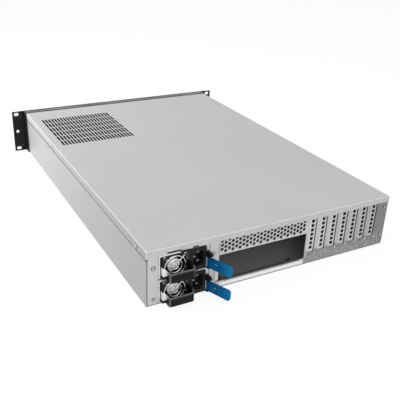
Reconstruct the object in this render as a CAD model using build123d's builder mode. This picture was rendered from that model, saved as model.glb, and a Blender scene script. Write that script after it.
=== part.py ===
import os
from math import cos, radians, sin, sqrt

from build123d import *

os.makedirs("parts", exist_ok=True)

# Rackmount server case, 2U high. Millimetres, +Z up, +Y to the rear.
# Origin: the middle of the case's underside.

# Case
case_width = 430.0
case_depth = 650.0
case_height = 88.0
body_sheet = 1.2
cover_sheet = 1.0
body_bend = 2.0
cover_bend = 2.0
fit_gap = 0.3
screw_gap = 0.1

# Folds of the tray
tray_flange = 12.0
step_height = 1.5
rear_lip_height = 8.4
side_lip_width = 10.5

# Top cover
cover_side_flange = 12.0
cover_rear_flange = 9.65
cover_screw_from_rear = 33.0
cover_mark_from_front = 213.0
cover_mark_size = 3.0

# Air slots of the cover
vent_columns = 23
vent_rows = 6
vent_pitch_x = 6.27
vent_pitch_y = 26.6
vent_slot_width = 3.2
vent_slot_length = 23.0
vent_from_side = 18.6
vent_from_front = 74.5

# Front panel and ears
front_sheet = 2.0
front_return = 18.4
front_overlap = 12.0
ear_sheet = 2.0
ear_reach = 26.3
ear_tab = 17.4
ear_hole_from_edge = 5.9
ear_hole_from_side = 17.55
ear_slot_length = 10.0
ear_slot_height = 7.0
ear_round_hole = 6.5
ear_screw_from_side = 9.0
ear_screw_from_edge = 13.0

# Front air slots
front_slot_width = 4.0
front_slot_pitch = 22.0
front_slot_margin = 9.0
front_slot_gap = 6.0
front_slot_columns = 14
front_slot_rows = 2

# Slot openings and their covers
slot_count = 7
slot_pitch = 20.32
last_slot_from_side = 29.0
slot_opening_width = 13.4
slot_opening_bottom = 20.0
slot_opening_from_top = 10.6
bracket_width = 18.4
bracket_sheet = 0.9
bracket_bottom = 13.0
bracket_tab = 11.0
bracket_hole_size = 5.8
bracket_hole_height = 5.6
bracket_hole_pitch = 7.65
bracket_hole_count = 7
bracket_hole_from_top = 14.8
tongue_width = 9.0
tongue_length = 2.6
bridge_bottom = 14.0
bridge_top = 18.6
ledge_from_top = 8.4
ledge_sheet = 1.0
ledge_depth = 14.0

# Board aperture and board
aperture_from_bay = 11.93
aperture_height = 44.45
aperture_bottom = 10.4
aperture_from_slot = 11.4
aperture_lip = 4.5
standoff_height = 6.5
standoff_size = 5.0
standoff_bore = 2.6
board_from_aperture = 2.0
board_from_rear = 3.0
board_columns = (16.51, 140.97, 298.45)
board_rows = (10.16, 165.1, 237.49)

# Air holes of the rear panel
air_rows = 3
air_pitch_x = 6.0
air_web = 0.8
air_from_top = 7.65
air_from_aperture = 5.1
air_from_edge = 6.0

# Power supplies
psu_width = 78.4
psu_depth = 200.0
psu_sheet = 0.6
slide_gap = 0.15
rail_sheet = 0.6
rail_width = 3.5
bay_from_side = 18.3
cage_sheet = 1.0
cage_flange = 17.0
cage_side_flange = 14.0
cage_foot = 8.0
seam_from_bay = 9.0
seam_width = 0.8
seam_bottom = 12.5
seam_height = 36.0
notch_height = 2.4
notches = ((12.6, 21.0), (51.6, 9.0))
socket_depth = 12.0

# Fan of a supply
psu_fan_from_left = 22.6
psu_fan_length = 28.0
psu_fan_proud = 5.0
psu_fan_wall = 0.9
psu_screw_from_edge = 2.75
guard_wire = 1.4
guard_from_edge = 2.25
guard_inner_ring = 18.0
guard_sides = 16
psu_hub = 17.0
shaft = 3.0
strut = 2.5
psu_blade_chord = 9.0
blade_sheet = 1.2

# Inlet of a supply
inlet_from_right = 17.5
inlet_flange_width = 24.2
inlet_flange_gap = 0.95
inlet_flange_corner = 1.5
inlet_flange_rim = 3.0
inlet_flange_proud = 2.0
inlet_depth = 18.0
inlet_socket_width = 17.4
inlet_socket_height = 24.6
inlet_socket_corner = 5.0
inlet_pin_length = 11.0
inlet_pin_width = 4.0
inlet_pin_sheet = 2.0
earth_pin_from_middle = 4.0
line_pin_from_middle = 2.0
line_pin_spread = 7.0

# Handle of a supply
handle_from_left = 9.35
handle_width = 39.2
handle_reach = 17.5
handle_strap = 2.0
handle_bar_height = 8.4
handle_cheek_height = 17.0
handle_left_height = 6.0
handle_tray = 1.6
handle_from_bottom = 0.4
handle_corner = 3.5

# Latch of a supply
latch_from_right = 0.3
latch_pin_from_face = 4.0
latch_block_width = 4.6
latch_lug = 1.0
latch_top = 8.6
latch_block_reach = 6.0
latch_top_reach = 12.5
latch_pin = 1.6
pin_gap = 0.05
lever_rise = 10.2
lever_length = 39.0
lever_root_height = 16.5
lever_tip_height = 17.5
lever_root_end = 0.6
lever_sheet = 2.6
lever_lean = 24.0
lever_corner = 2.5
lever_window = 4.4
lever_pad = 2.8
lever_pad_sheet = 1.5
arm_start = 4.5
arm_length = 17.0
arm_sheet = 1.2

# Chassis fans
fan_count = 3
fan_headroom = 5.5
fan_depth = 25.0
fan_rim = 2.0
fan_screw_from_edge = 4.25
fan_screw_bore = 4.2
fan_pitch = 110.0
fan_wall_from_front = 262.0
fan_hub = 34.0
fan_blade_chord = 22.0
fan_boss = 12.0
blade_count = 7
root_pitch = 52.0
tip_pitch = 34.0
running_gap = 1.0

# Drive cages
drive_width = 101.6
drive_length = 147.0
drive_height = 26.1
drive_headroom = 4.0
cage_from_side = 31.0
cage_from_front = 30.0
drive_gap = 0.7

# Controls
control_from_side = 17.0
control_board_width = 24.0
control_board_margin = 3.0
control_board_sheet = 1.6
control_board_back = 9.0
power_button = 9.0
power_button_from_top = 22.0
reset_button = 4.0
reset_button_from_top = 34.0
button_travel = 1.5
button_proud = 1.6
button_gap = 0.25
button_collar = 1.0
lamps_from_top = (42.0, 48.0)
lamp_size = 3.0
ports_from_top = (59.0, 70.0)
port_width = 13.1
port_height = 5.7
port_depth = 12.0

# Screws
large_head = 6.8
middle_head = 6.0
small_head = 4.4
rear_shank = 3.0
rear_head = 1.8
small_shank = 2.6
ear_shank = 3.0
ear_head = 5.4
left_screw_in = 11.3
left_screw_drop = 28.7
left_screw_low = 9.1
bay_screw_in = 6.8
bay_screw_drop = 28.1
right_screw_in = 7.2
right_screw_drop = 18.7
right_screw_low = 18.2
lip_screw_in = 40.0
low_screw = 6.4
aperture_screw_in = 3.6
rail_hole = 3.0
rail_hole_drop = 2.0
rail_holes_from_front = (185.0, 236.0, 337.0, 465.0)

# Derived places
half_width = case_width / 2
front_y = -case_depth / 2
rear_y = case_depth / 2
tray_top = case_height - cover_sheet
step_in = cover_sheet + fit_gap
step_top = case_height - cover_side_flange - fit_gap
wall_in = half_width - body_sheet
upper_wall_in = wall_in - step_in
panel_back = rear_y - body_sheet
cover_rear = rear_y + fit_gap + cover_sheet
cover_front = front_y + front_return + fit_gap
front_face = front_y - ear_sheet - front_sheet

slot_opening_top = case_height - slot_opening_from_top
bracket_hole_top = case_height - bracket_hole_from_top
ledge_top = case_height - ledge_from_top
power_button_height = case_height - power_button_from_top
reset_button_height = case_height - reset_button_from_top
lamp_heights = [case_height - drop for drop in lamps_from_top]
port_heights = [case_height - drop for drop in ports_from_top]

bay_left = half_width - bay_from_side
bay_width = psu_width + 2 * slide_gap
bay_right = bay_left - bay_width
bay_bottom = body_sheet
bay_top = case_height - cover_rear_flange - slide_gap
psu_height = (bay_top - bay_bottom - rail_sheet - 4 * slide_gap) / 2
psu_x = (bay_left + bay_right) / 2
psu_left = psu_x + psu_width / 2
psu_right = psu_x - psu_width / 2
psu_floors = (bay_bottom + slide_gap, bay_top - slide_gap - psu_height)
cage_front = rear_y - psu_depth - socket_depth
fan_frame = psu_height - 2 * psu_sheet - 2 * screw_gap
fan_x = psu_left - psu_fan_from_left

last_slot_x = -half_width + last_slot_from_side
slot_xs = [last_slot_x + slot_pitch * (slot_count - 1 - k) for k in range(slot_count)]
aperture_right = slot_xs[0] + aperture_from_slot
aperture_left = bay_right - aperture_from_bay
aperture_width = aperture_left - aperture_right
aperture_top = aperture_bottom + aperture_height
air_pitch_z = (case_height - air_from_top - aperture_top - air_from_aperture) / air_rows
air_hole = air_pitch_z - air_web
board_left = aperture_left + board_from_aperture
board_rear = rear_y - board_from_rear

# Screws of the rear panel: x, z and the diameter of the head
rear_screws = (
    (half_width - left_screw_in, case_height - left_screw_drop, large_head),
    (half_width - left_screw_in, left_screw_low, small_head),
    (bay_right - bay_screw_in, case_height - bay_screw_drop, middle_head),
    (-half_width + right_screw_in, case_height - right_screw_drop, small_head),
    (-half_width + right_screw_in, right_screw_low, small_head),
    (-half_width + lip_screw_in, low_screw, small_head),
    (aperture_right - aperture_screw_in, low_screw, small_head),
)
ear_screws_at = [
    (side * (half_width + ear_screw_from_side), case_height / 2 + end * (case_height / 2 - ear_screw_from_edge))
    for side in (-1, 1)
    for end in (-1, 1)
]


def upright(y):
    """Plane that stands across the case at y and looks to the front."""
    return Plane.XZ.offset(-y)


def save(piece, name):
    """Label one piece and write its file."""
    piece.part.label = name
    export_step(piece.part, f"parts/{name}.step")


def box_between(x0, x1, y0, y1, z0, z1, mode=Mode.ADD):
    """Box from its six limits, in the part being built."""
    with Locations(((x0 + x1) / 2, (y0 + y1) / 2, (z0 + z1) / 2)):
        Box(abs(x1 - x0), abs(y1 - y0), abs(z1 - z0), mode=mode)


def bit(radius):
    """Eight-sided cutter on Z for the small screw holes."""
    with BuildPart() as cutter:
        with BuildSketch():
            RegularPolygon(radius, 8, major_radius=False)
        extrude(amount=10 * body_sheet, both=True)
    return cutter.part


def screw(head, shank, shank_length, head_sides=12):
    """Screw on Z, its head above z = 0."""
    with BuildPart() as blank:
        with BuildSketch():
            RegularPolygon(head / 2, head_sides)
        extrude(amount=rear_head)
        with BuildSketch():
            RegularPolygon(shank / 2, 6)
        extrude(amount=-shank_length)
    return blank.part


def facing(place, direction):
    """Location whose Z axis points along the direction."""
    across = (0, 0, 1) if abs(direction[2]) < 0.5 else (1, 0, 0)
    return Location(Plane(origin=place, x_dir=across, z_dir=direction))


def drill(places, direction, radius):
    """Small holes through what is being built, at places that a screw enters."""
    cutter = bit(radius)
    with Locations(*[facing(place, direction) for place in places]):
        add(cutter, mode=Mode.SUBTRACT)


def drill_rear():
    """Holes for the screws of the rear panel, in the part being built."""
    drill([(x, rear_y, z) for x, z, _ in rear_screws], (0, 1, 0), rear_shank / 2 + screw_gap)


def drill_ears():
    """Holes for the ear screws, in the part being built."""
    drill([(x, front_y, z) for x, z in ear_screws_at], (0, 1, 0), ear_shank / 2 + screw_gap)


def drill_front(places, radius):
    """Holes along Y through the front panel's face, in the part being built."""
    with Locations(*[(x, front_face, z) for x, z in places]):
        Cylinder(radius, 4 * front_sheet, rotation=(90, 0, 0), mode=Mode.SUBTRACT)


# Base tray: one folded sheet with a step in each wall for the cover
screw_y = rear_y - cover_screw_from_rear
cover_screw_z = case_height - cover_side_flange * 0.7
rail_hole_ys = [front_y + y for y in rail_holes_from_front]
rail_hole_z = case_height / 2 - rail_hole_drop

with BuildPart() as base_tray:
    with BuildSketch(upright(rear_y)):
        with BuildLine():
            right_half = [
                (half_width - step_in - tray_flange, tray_top),
                (half_width - step_in, tray_top),
                (half_width - step_in, step_top),
                (half_width, step_top - step_height),
                (half_width, 0),
            ]
            left_half = [(-x, z) for x, z in reversed(right_half)]
            outline = FilletPolyline(*right_half, *left_half, radius=body_bend / 2)
            offset(outline, amount=body_sheet, side=Side.RIGHT, kind=Kind.ARC)
        make_face()
    extrude(amount=case_depth + ear_sheet)
    lip_back = panel_back - body_sheet
    box_between(-wall_in, bay_right - cage_flange - 2, lip_back, panel_back, body_sheet / 2, rear_lip_height)
    box_between(-wall_in - 0.1, -wall_in + side_lip_width, lip_back, panel_back, 2.0, step_top - 3.0)
    for side in (-1, 1):
        drill([(side * half_width, y, rail_hole_z) for y in rail_hole_ys], (side, 0, 0), rail_hole / 2)
        notch_x = side * (half_width - step_in - body_sheet / 2)
        notch_half = small_shank / 2 + fit_gap
        box_between(notch_x - 2 * tray_flange, notch_x + 2 * tray_flange, screw_y - notch_half,
                    screw_y + notch_half, cover_screw_z - notch_half, case_height, mode=Mode.SUBTRACT)
        with Locations((side * half_width, rear_y, step_top - step_height)):
            Box(4 * body_sheet, 2 * body_sheet, 2 * body_sheet, mode=Mode.SUBTRACT)
    drill_rear()
save(base_tray, "base_tray")


# Rear panel: outline with the upper corners stepped in, as the tray's walls are
with BuildPart() as rear_panel:
    edge = wall_in - screw_gap
    upper_edge = upper_wall_in - screw_gap
    step_bottom = step_top - step_height - 2 * body_sheet
    panel_top = tray_top - body_sheet - screw_gap
    with BuildSketch(upright(rear_y)):
        with BuildLine():
            half = [
                (edge, body_sheet + screw_gap),
                (edge, step_bottom),
                (upper_edge, step_bottom),
                (upper_edge, panel_top),
            ]
            Polyline(*half, *[(-x, z) for x, z in reversed(half)], close=True)
        make_face()
        # Supply bay, open to the floor
        with Locations((psu_x, bay_top / 2)):
            Rectangle(bay_width, bay_top, mode=Mode.SUBTRACT)
        # Board aperture, and the notch below it that shows the tray's lip
        aperture_middle = (aperture_left + aperture_right) / 2
        with Locations((aperture_middle, aperture_bottom + aperture_height / 2)):
            Rectangle(aperture_width, aperture_height, mode=Mode.SUBTRACT)
        with Locations((aperture_middle - 3, (rear_lip_height - 0.2) / 2)):
            Rectangle(aperture_width - 6, rear_lip_height - 0.2, mode=Mode.SUBTRACT)
        # Slot openings
        opening_height = slot_opening_top - slot_opening_bottom
        with Locations(*[(x, slot_opening_bottom + opening_height / 2) for x in slot_xs]):
            Rectangle(slot_opening_width, opening_height, mode=Mode.SUBTRACT)
        # Air holes in staggered columns
        air_columns = int((bay_right - aperture_right - 3 * air_from_edge) / air_pitch_x) + 1
        air_places = []
        for column in range(air_columns):
            column_x = aperture_right + air_from_edge + column * air_pitch_x
            lift = air_pitch_z / 2 if column % 2 == 0 else 0
            first_z = aperture_top + air_from_aperture + lift
            air_places += [(column_x, first_z + row * air_pitch_z) for row in range(air_rows)]
        with Locations(*air_places):
            RegularPolygon(air_hole / 2, 6, mode=Mode.SUBTRACT)
        # Seam beside the supply bay, and two notches above it
        with Locations((bay_right - seam_from_bay, seam_bottom + seam_height / 2)):
            Rectangle(seam_width, seam_height, mode=Mode.SUBTRACT)
        for from_left, width in notches:
            with Locations((psu_left - from_left - width / 2, bay_top)):
                Rectangle(width, 2 * notch_height, mode=Mode.SUBTRACT)
    extrude(amount=body_sheet)
    # Lip of the aperture, folded inwards
    box_between(aperture_right, aperture_left, panel_back - aperture_lip, panel_back,
                rear_lip_height + screw_gap, aperture_bottom)
    # Bridges that hold the tongues of the slot covers
    for x in slot_xs:
        box_between(x - tongue_width / 2, x + tongue_width / 2, rear_y, rear_y + body_sheet / 2,
                    bridge_bottom, bridge_top)
    drill_rear()
save(rear_panel, "rear_panel")


# Top cover: folded on three sides, with a field of air slots
with BuildPart() as top_cover:
    with BuildSketch(upright(cover_rear)):
        with BuildLine():
            flange_end = case_height - cover_side_flange
            outline = FilletPolyline(
                (half_width, flange_end),
                (half_width, case_height),
                (-half_width, case_height),
                (-half_width, flange_end),
                radius=cover_bend,
            )
            offset(outline, amount=cover_sheet, side=Side.LEFT, kind=Kind.ARC)
        make_face()
    extrude(amount=cover_rear - cover_front)
    inner = half_width - cover_sheet
    box_between(-inner, inner, rear_y + fit_gap, cover_rear, case_height - cover_rear_flange, tray_top + 0.5)
    rear_edges = top_cover.edges().filter_by(Axis.X).group_by(Axis.Y)[-1]
    fillet(rear_edges.sort_by(Axis.Z)[-1], radius=cover_sheet * 0.9)
    for from_left, width in notches:
        box_between(psu_left - from_left - width, psu_left - from_left, rear_y, cover_rear + 1,
                    case_height - cover_rear_flange - 1, bay_top + notch_height, mode=Mode.SUBTRACT)
    vent_x = half_width - vent_from_side - (vent_columns - 1) / 2 * vent_pitch_x
    vent_y = front_y + vent_from_front + vent_slot_length / 2 + (vent_rows - 1) / 2 * vent_pitch_y
    with BuildSketch(Plane.XY.offset(tray_top)):
        with Locations((vent_x, vent_y)):
            with GridLocations(vent_pitch_x, vent_pitch_y, vent_columns, vent_rows):
                Rectangle(vent_slot_width, vent_slot_length)
    extrude(amount=cover_sheet, mode=Mode.SUBTRACT)
    for side in (-1, 1):
        drill([(side * half_width, screw_y, cover_screw_z)], (side, 0, 0), small_shank / 2 + screw_gap)
        mark_y = front_y + cover_mark_from_front
        box_between(side * (half_width - 2 * cover_sheet), side * (half_width + 1), mark_y - cover_mark_size,
                    mark_y + cover_mark_size, flange_end + cover_side_flange / 2 - cover_mark_size / 2,
                    flange_end + cover_side_flange / 2 + cover_mark_size / 2, mode=Mode.SUBTRACT)
save(top_cover, "top_cover")

with BuildPart() as cover_screws:
    blank = screw(2 * small_shank, small_shank, cover_sheet + fit_gap + body_sheet)
    with Locations(*[facing((side * half_width, screw_y, cover_screw_z), (side, 0, 0)) for side in (-1, 1)]):
        add(blank)
save(cover_screws, "cover_screws")


# Rear screws
with BuildPart() as rear_panel_screws:
    for x, z, head in rear_screws:
        with Locations(facing((x, rear_y, z), (0, 1, 0))):
            add(screw(head, rear_shank, 2 * body_sheet))
save(rear_panel_screws, "rear_panel_screws")


# Front panel: a face over the tray's end and the ears, and a top return that meets the cover
with BuildPart() as front_panel:
    face_half = half_width + front_overlap
    box_between(-face_half, face_half, front_face, front_face + front_sheet, 0, case_height)
    box_between(-half_width, half_width, front_face + front_sheet, front_y + front_return, tray_top, case_height)
    fillet(front_panel.edges().filter_by(Axis.X).group_by(Axis.Y)[0], radius=front_sheet * 0.4)
    drill_ears()
    control_x = -half_width + control_from_side
    drill_front([(control_x, power_button_height)], power_button / 2 + button_gap)
    drill_front([(control_x, reset_button_height)], reset_button / 2 + button_gap)
    drill_front([(control_x, z) for z in lamp_heights], lamp_size / 2 + screw_gap)
    for z in port_heights:
        box_between(control_x - port_width / 2 - fit_gap, control_x + port_width / 2 + fit_gap,
                    front_face - 1, front_face + front_sheet, z - port_height / 2 - fit_gap,
                    z + port_height / 2 + fit_gap, mode=Mode.SUBTRACT)
    row_pitch = (case_height - 2 * front_slot_margin + front_slot_gap) / front_slot_rows
    with BuildSketch(upright(front_face + front_sheet)):
        with Locations((0, case_height / 2)):
            with GridLocations(front_slot_pitch, row_pitch, front_slot_columns, front_slot_rows):
                Rectangle(front_slot_width, row_pitch - front_slot_gap)
    extrude(amount=front_sheet, mode=Mode.SUBTRACT)
save(front_panel, "front_panel")


# Rack ears: angle brackets with two long holes and a round one
def rack_ear(side):
    """One ear, on the side of the case that the sign gives."""
    with BuildPart() as ear:
        tab_x = half_width + ear_sheet
        end_x = half_width + ear_reach
        with BuildSketch(Plane.XY):
            with BuildLine():
                outline = [
                    (half_width, front_y + ear_tab),
                    (half_width, front_y - ear_sheet),
                    (end_x, front_y - ear_sheet),
                    (end_x, front_y),
                    (tab_x, front_y),
                    (tab_x, front_y + ear_tab),
                ]
                Polyline(*[(side * x, y) for x, y in outline], close=True)
            make_face()
        extrude(amount=case_height)
        corners = ear.edges().filter_by(Axis.Y).group_by(Axis.X)[-1 if side > 0 else 0]
        fillet(corners, radius=ear_sheet * 0.6)
        hole_x = side * (half_width + ear_hole_from_side)
        with BuildSketch(upright(front_y)):
            ends = [(hole_x, ear_hole_from_edge), (hole_x, case_height - ear_hole_from_edge)]
            with Locations(*ends):
                SlotOverall(ear_slot_length, ear_slot_height)
            with Locations((hole_x, case_height / 2)):
                Circle(ear_round_hole / 2)
        extrude(amount=ear_sheet, mode=Mode.SUBTRACT)
        drill_ears()
    return ear


save(rack_ear(1), "ear_left")
save(rack_ear(-1), "ear_right")

with BuildPart() as ear_screws:
    blank = screw(ear_head, ear_shank, ear_sheet + front_sheet)
    with Locations(*[facing((x, front_y, z), (0, 1, 0)) for x, z in ear_screws_at]):
        add(blank)
save(ear_screws, "ear_screws")


# Slot covers: a strip with square holes, a tab on the ledge and a tongue behind the bridge
bracket_top = ledge_top + bracket_sheet
tab_screw_y = panel_back - bracket_tab * 0.6


def slot_cover(x, drop):
    """One slot cover, its square holes punched lower by the drop."""
    with BuildPart() as cover:
        with BuildSketch(upright(panel_back)):
            with Locations((x, (bracket_bottom + bracket_top) / 2)):
                Rectangle(bracket_width, bracket_top - bracket_bottom)
            with Locations((x, bracket_bottom - tongue_length / 2)):
                Rectangle(tongue_width, tongue_length)
            holes = [(x, bracket_hole_top - drop - k * bracket_hole_pitch) for k in range(bracket_hole_count)]
            with Locations(*holes):
                Rectangle(bracket_hole_size, bracket_hole_height, mode=Mode.SUBTRACT)
        extrude(amount=bracket_sheet)
        box_between(x - bracket_width / 2, x + bracket_width / 2, panel_back - bracket_tab,
                    panel_back, ledge_top, bracket_top)
        with Locations((x, tab_screw_y, bracket_top)):
            Box(small_shank + 2 * screw_gap, small_shank + 2 * screw_gap, 4 * bracket_sheet, mode=Mode.SUBTRACT)
    return cover


cover_drops = (0.0, 0.0, 1.0)
for number, x in enumerate(slot_xs):
    drop = cover_drops[number] if number < len(cover_drops) else 0.0
    save(slot_cover(x, drop), f"slot_cover_{number + 1}")

with BuildPart() as slot_ledge:
    ledge_right = -wall_in + screw_gap + step_in
    ledge_left = slot_xs[0] + bracket_width / 2 + 4.4
    ledge_bottom = ledge_top - ledge_sheet
    box_between(ledge_right, ledge_left, panel_back - ledge_depth, panel_back, ledge_bottom, ledge_top)
    strips_right = slot_xs[-1] - bracket_width / 2 - fit_gap
    strips_left = slot_xs[0] + bracket_width / 2 + fit_gap
    box_between(strips_right, strips_left, panel_back - bracket_sheet - fit_gap, panel_back,
                ledge_bottom, ledge_top, mode=Mode.SUBTRACT)
    ear_bottom = step_top - 2.0
    box_between(ledge_right, strips_right, panel_back - ledge_sheet, panel_back, ear_bottom, ledge_top)
    box_between(strips_left, ledge_left, panel_back - ledge_sheet, panel_back, ear_bottom, ledge_top)
    with Locations(*[(x, tab_screw_y, ledge_top) for x in slot_xs]):
        Box(small_shank + 2 * screw_gap, small_shank + 2 * screw_gap, 4 * ledge_sheet, mode=Mode.SUBTRACT)
save(slot_ledge, "slot_ledge")

with BuildPart() as slot_screws:
    blank = screw(2 * small_shank, small_shank, bracket_sheet + ledge_sheet, 6)
    with Locations(*[(x, tab_screw_y, bracket_top) for x in slot_xs]):
        add(blank)
save(slot_screws, "slot_screws")


# Standoffs of the board
with BuildPart() as standoffs:
    board_reach = [x for x in board_columns if board_left - x > -wall_in + standoff_size]
    board_holes = [(board_left - x, board_rear - y) for x in board_reach for y in board_rows]
    with BuildSketch(Plane.XY.offset(body_sheet)):
        with Locations(*board_holes):
            RegularPolygon(standoff_size / 2, 6, major_radius=False)
            Circle(standoff_bore / 2, mode=Mode.SUBTRACT)
    extrude(amount=standoff_height)
save(standoffs, "standoffs")


# Cage of the power supplies, with a rail on each wall between the two
with BuildPart() as psu_cage:
    cage_top = bay_top + cage_sheet
    cage_left = bay_left + cage_sheet
    cage_right = bay_right - cage_sheet
    box_between(bay_left, cage_left, cage_front, panel_back, bay_bottom, cage_top)
    box_between(cage_right, bay_right, cage_front, panel_back, bay_bottom, cage_top)
    box_between(cage_right, cage_left, cage_front, panel_back, bay_top, cage_top)
    rail_bottom = psu_floors[0] + psu_height + slide_gap
    rail_front = rear_y - psu_depth
    box_between(bay_left - rail_width, bay_left, rail_front, panel_back, rail_bottom, rail_bottom + rail_sheet)
    box_between(bay_right, bay_right + rail_width, rail_front, panel_back, rail_bottom, rail_bottom + rail_sheet)
    foot_end = panel_back - 3 * body_sheet
    box_between(cage_left, cage_left + cage_foot, cage_front, foot_end, bay_bottom, bay_bottom + cage_sheet)
    box_between(cage_right - cage_foot, cage_right, cage_front, foot_end, bay_bottom, bay_bottom + cage_sheet)
    flange_front = panel_back - cage_sheet
    flange_bottom = aperture_bottom + body_sheet
    box_between(cage_left, cage_left + cage_side_flange, flange_front, panel_back, 2 * body_sheet, step_top - 3.0)
    box_between(bay_right - cage_flange, cage_right, flange_front, panel_back, flange_bottom, step_top)
    drill_rear()
save(psu_cage, "psu_cage")


# Power board across the inner end of the cage, and the sockets that the supplies plug into
board_sheet = 1.6
psu_board_lift = 4.0
plug_length = 9.0
plug_width = 56.0
socket_width = 62.0
socket_wall = 3.0

with BuildPart() as power_board:
    box_between(bay_right + 2 * slide_gap, bay_left - 2 * slide_gap, cage_front, cage_front + board_sheet,
                bay_bottom, bay_top - 2 * slide_gap)
save(power_board, "power_board")

with BuildPart() as power_sockets:
    socket_start = cage_front + board_sheet
    socket_end = rear_y - psu_depth - fit_gap
    for floor in psu_floors:
        plug_z = floor + psu_sheet + psu_board_lift
        box_between(psu_x - socket_width / 2, psu_x + socket_width / 2, socket_start, socket_end,
                    plug_z - socket_wall, plug_z + board_sheet + socket_wall)
        box_between(psu_x - plug_width / 2 - fit_gap, psu_x + plug_width / 2 + fit_gap, socket_start + 1, socket_end,
                    plug_z - slide_gap, plug_z + board_sheet + slide_gap, mode=Mode.SUBTRACT)
save(power_sockets, "power_sockets")


# Fans: a wheel of twisted blades on a hub, and a square frame that carries its shaft
def blade_wheel(hub, tip, length, chord, shaft_length):
    """Rotor with its axis on Z: hub from z = 0 to the length, shaft below it."""
    with BuildPart() as blade:
        with BuildSketch(Plane.YZ.offset(hub * 0.45)):
            with Locations((0, length / 2)):
                Rectangle(chord * 0.75, blade_sheet, rotation=root_pitch)
        reach = sqrt((tip / 2) ** 2 - (chord / 2) ** 2)
        with BuildSketch(Plane.YZ.offset(reach)):
            with Locations((0, length / 2)):
                Rectangle(chord, blade_sheet, rotation=tip_pitch)
        loft()
    with BuildPart() as wheel:
        Cylinder(hub / 2, length, align=(Align.CENTER, Align.CENTER, Align.MIN))
        Cylinder(shaft / 2, shaft_length, align=(Align.CENTER, Align.CENTER, Align.MAX))
        with PolarLocations(0, blade_count):
            add(blade.part)
    return wheel


def fan_body(size, bore, depth, boss, boss_depth, screw_places, screw_radius):
    """Frame with its axis on Z: the struts and the boss are at z = 0."""
    with BuildPart() as frame:
        with BuildSketch():
            Rectangle(size, size)
            Circle(bore / 2, mode=Mode.SUBTRACT)
            with Locations(*screw_places):
                RegularPolygon(screw_radius, 8, major_radius=False, mode=Mode.SUBTRACT)
        extrude(amount=depth)
        with BuildSketch():
            Circle(boss / 2)
            for turn in (0, 90):
                Rectangle(bore + 1.0, strut, rotation=turn)
        extrude(amount=boss_depth)
        Cylinder(shaft / 2 + pin_gap, 4 * boss_depth, mode=Mode.SUBTRACT)
    return frame


def placed(blank, x, y, z):
    """Copy of a part, with its Z axis turned to point to the rear."""
    with BuildPart() as copy:
        with Locations(Plane(origin=(x, y, z), x_dir=(-1, 0, 0), z_dir=(0, 1, 0))):
            add(blank.part)
    return copy


# Chassis fans on their wall
fan_wall_y = front_y + fan_wall_from_front
fan_size = tray_top - body_sheet - fit_gap - fan_headroom
fan_z = body_sheet + fit_gap + fan_size / 2
fan_xs = [(k - (fan_count - 1) / 2) * fan_pitch for k in range(fan_count)]
fan_screw = fan_size / 2 - fan_screw_from_edge
fan_bore = fan_size - 2 * fan_rim
boss_depth = 3.0
wall_foot = 12.0

with BuildPart() as fan_wall:
    wall_half = wall_in - step_in - fit_gap
    with BuildSketch(upright(fan_wall_y)):
        with Locations((0, (body_sheet + fan_size + 2) / 2)):
            Rectangle(2 * wall_half, fan_size + 2 - body_sheet)
        with Locations(*[(x, fan_z) for x in fan_xs]):
            Circle(fan_bore / 2, mode=Mode.SUBTRACT)
    extrude(amount=body_sheet)
    foot_back = fan_wall_y - body_sheet
    box_between(-wall_half, wall_half, foot_back - wall_foot, foot_back, body_sheet, 2 * body_sheet)
save(fan_wall, "fan_wall")

fan_corners = [(a * fan_screw, b * fan_screw) for a in (-1, 1) for b in (-1, 1)]
frame_blank = fan_body(fan_size, fan_bore, fan_depth, fan_boss, boss_depth, fan_corners, fan_screw_bore / 2)
rotor_blank = blade_wheel(fan_hub, fan_bore - 2 * running_gap, fan_depth - boss_depth - 2.0, fan_blade_chord,
                          boss_depth - 0.5)
for number, x in enumerate(fan_xs):
    save(placed(frame_blank, x, fan_wall_y, fan_z), f"fan_frame_{number + 1}")
    save(placed(rotor_blank, x, fan_wall_y + boss_depth + 0.5, fan_z), f"fan_rotor_{number + 1}")


# Drive cages: open channels with slots for the drive screws
def drive_cage(side):
    """One cage for a stack of drives, beside the middle of the case."""
    outer_x = side * (half_width - cage_from_side)
    inner_x = outer_x - side * (drive_width + 2 * drive_gap)
    near_y = front_y + cage_from_front
    far_y = near_y + drive_length
    floor = body_sheet + cage_sheet
    drive_tiers = int((tray_top - body_sheet - drive_headroom / 2 - floor) / (drive_height + drive_gap))
    top = floor + drive_tiers * (drive_height + drive_gap)
    with BuildPart() as cage:
        box_between(inner_x - side * cage_sheet, outer_x + side * cage_sheet, near_y, far_y, body_sheet, floor)
        box_between(inner_x - side * cage_sheet, inner_x, near_y, far_y, body_sheet, top)
        box_between(outer_x, outer_x + side * cage_sheet, near_y, far_y, body_sheet, top)
        for tier in range(drive_tiers):
            z = floor + tier * (drive_height + drive_gap) + drive_height * 0.25
            for y in (near_y + drive_length * 0.2, near_y + drive_length * 0.6):
                box_between(inner_x - 2 * side, outer_x + 2 * side, y - 5, y + 5, z - 1.8, z + 1.8,
                            mode=Mode.SUBTRACT)
    return cage


save(drive_cage(1), "drive_cage_left")
save(drive_cage(-1), "drive_cage_right")


# Controls of the front panel
control_back_y = front_face + front_sheet + control_board_back
switch_size = 6.0

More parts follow.
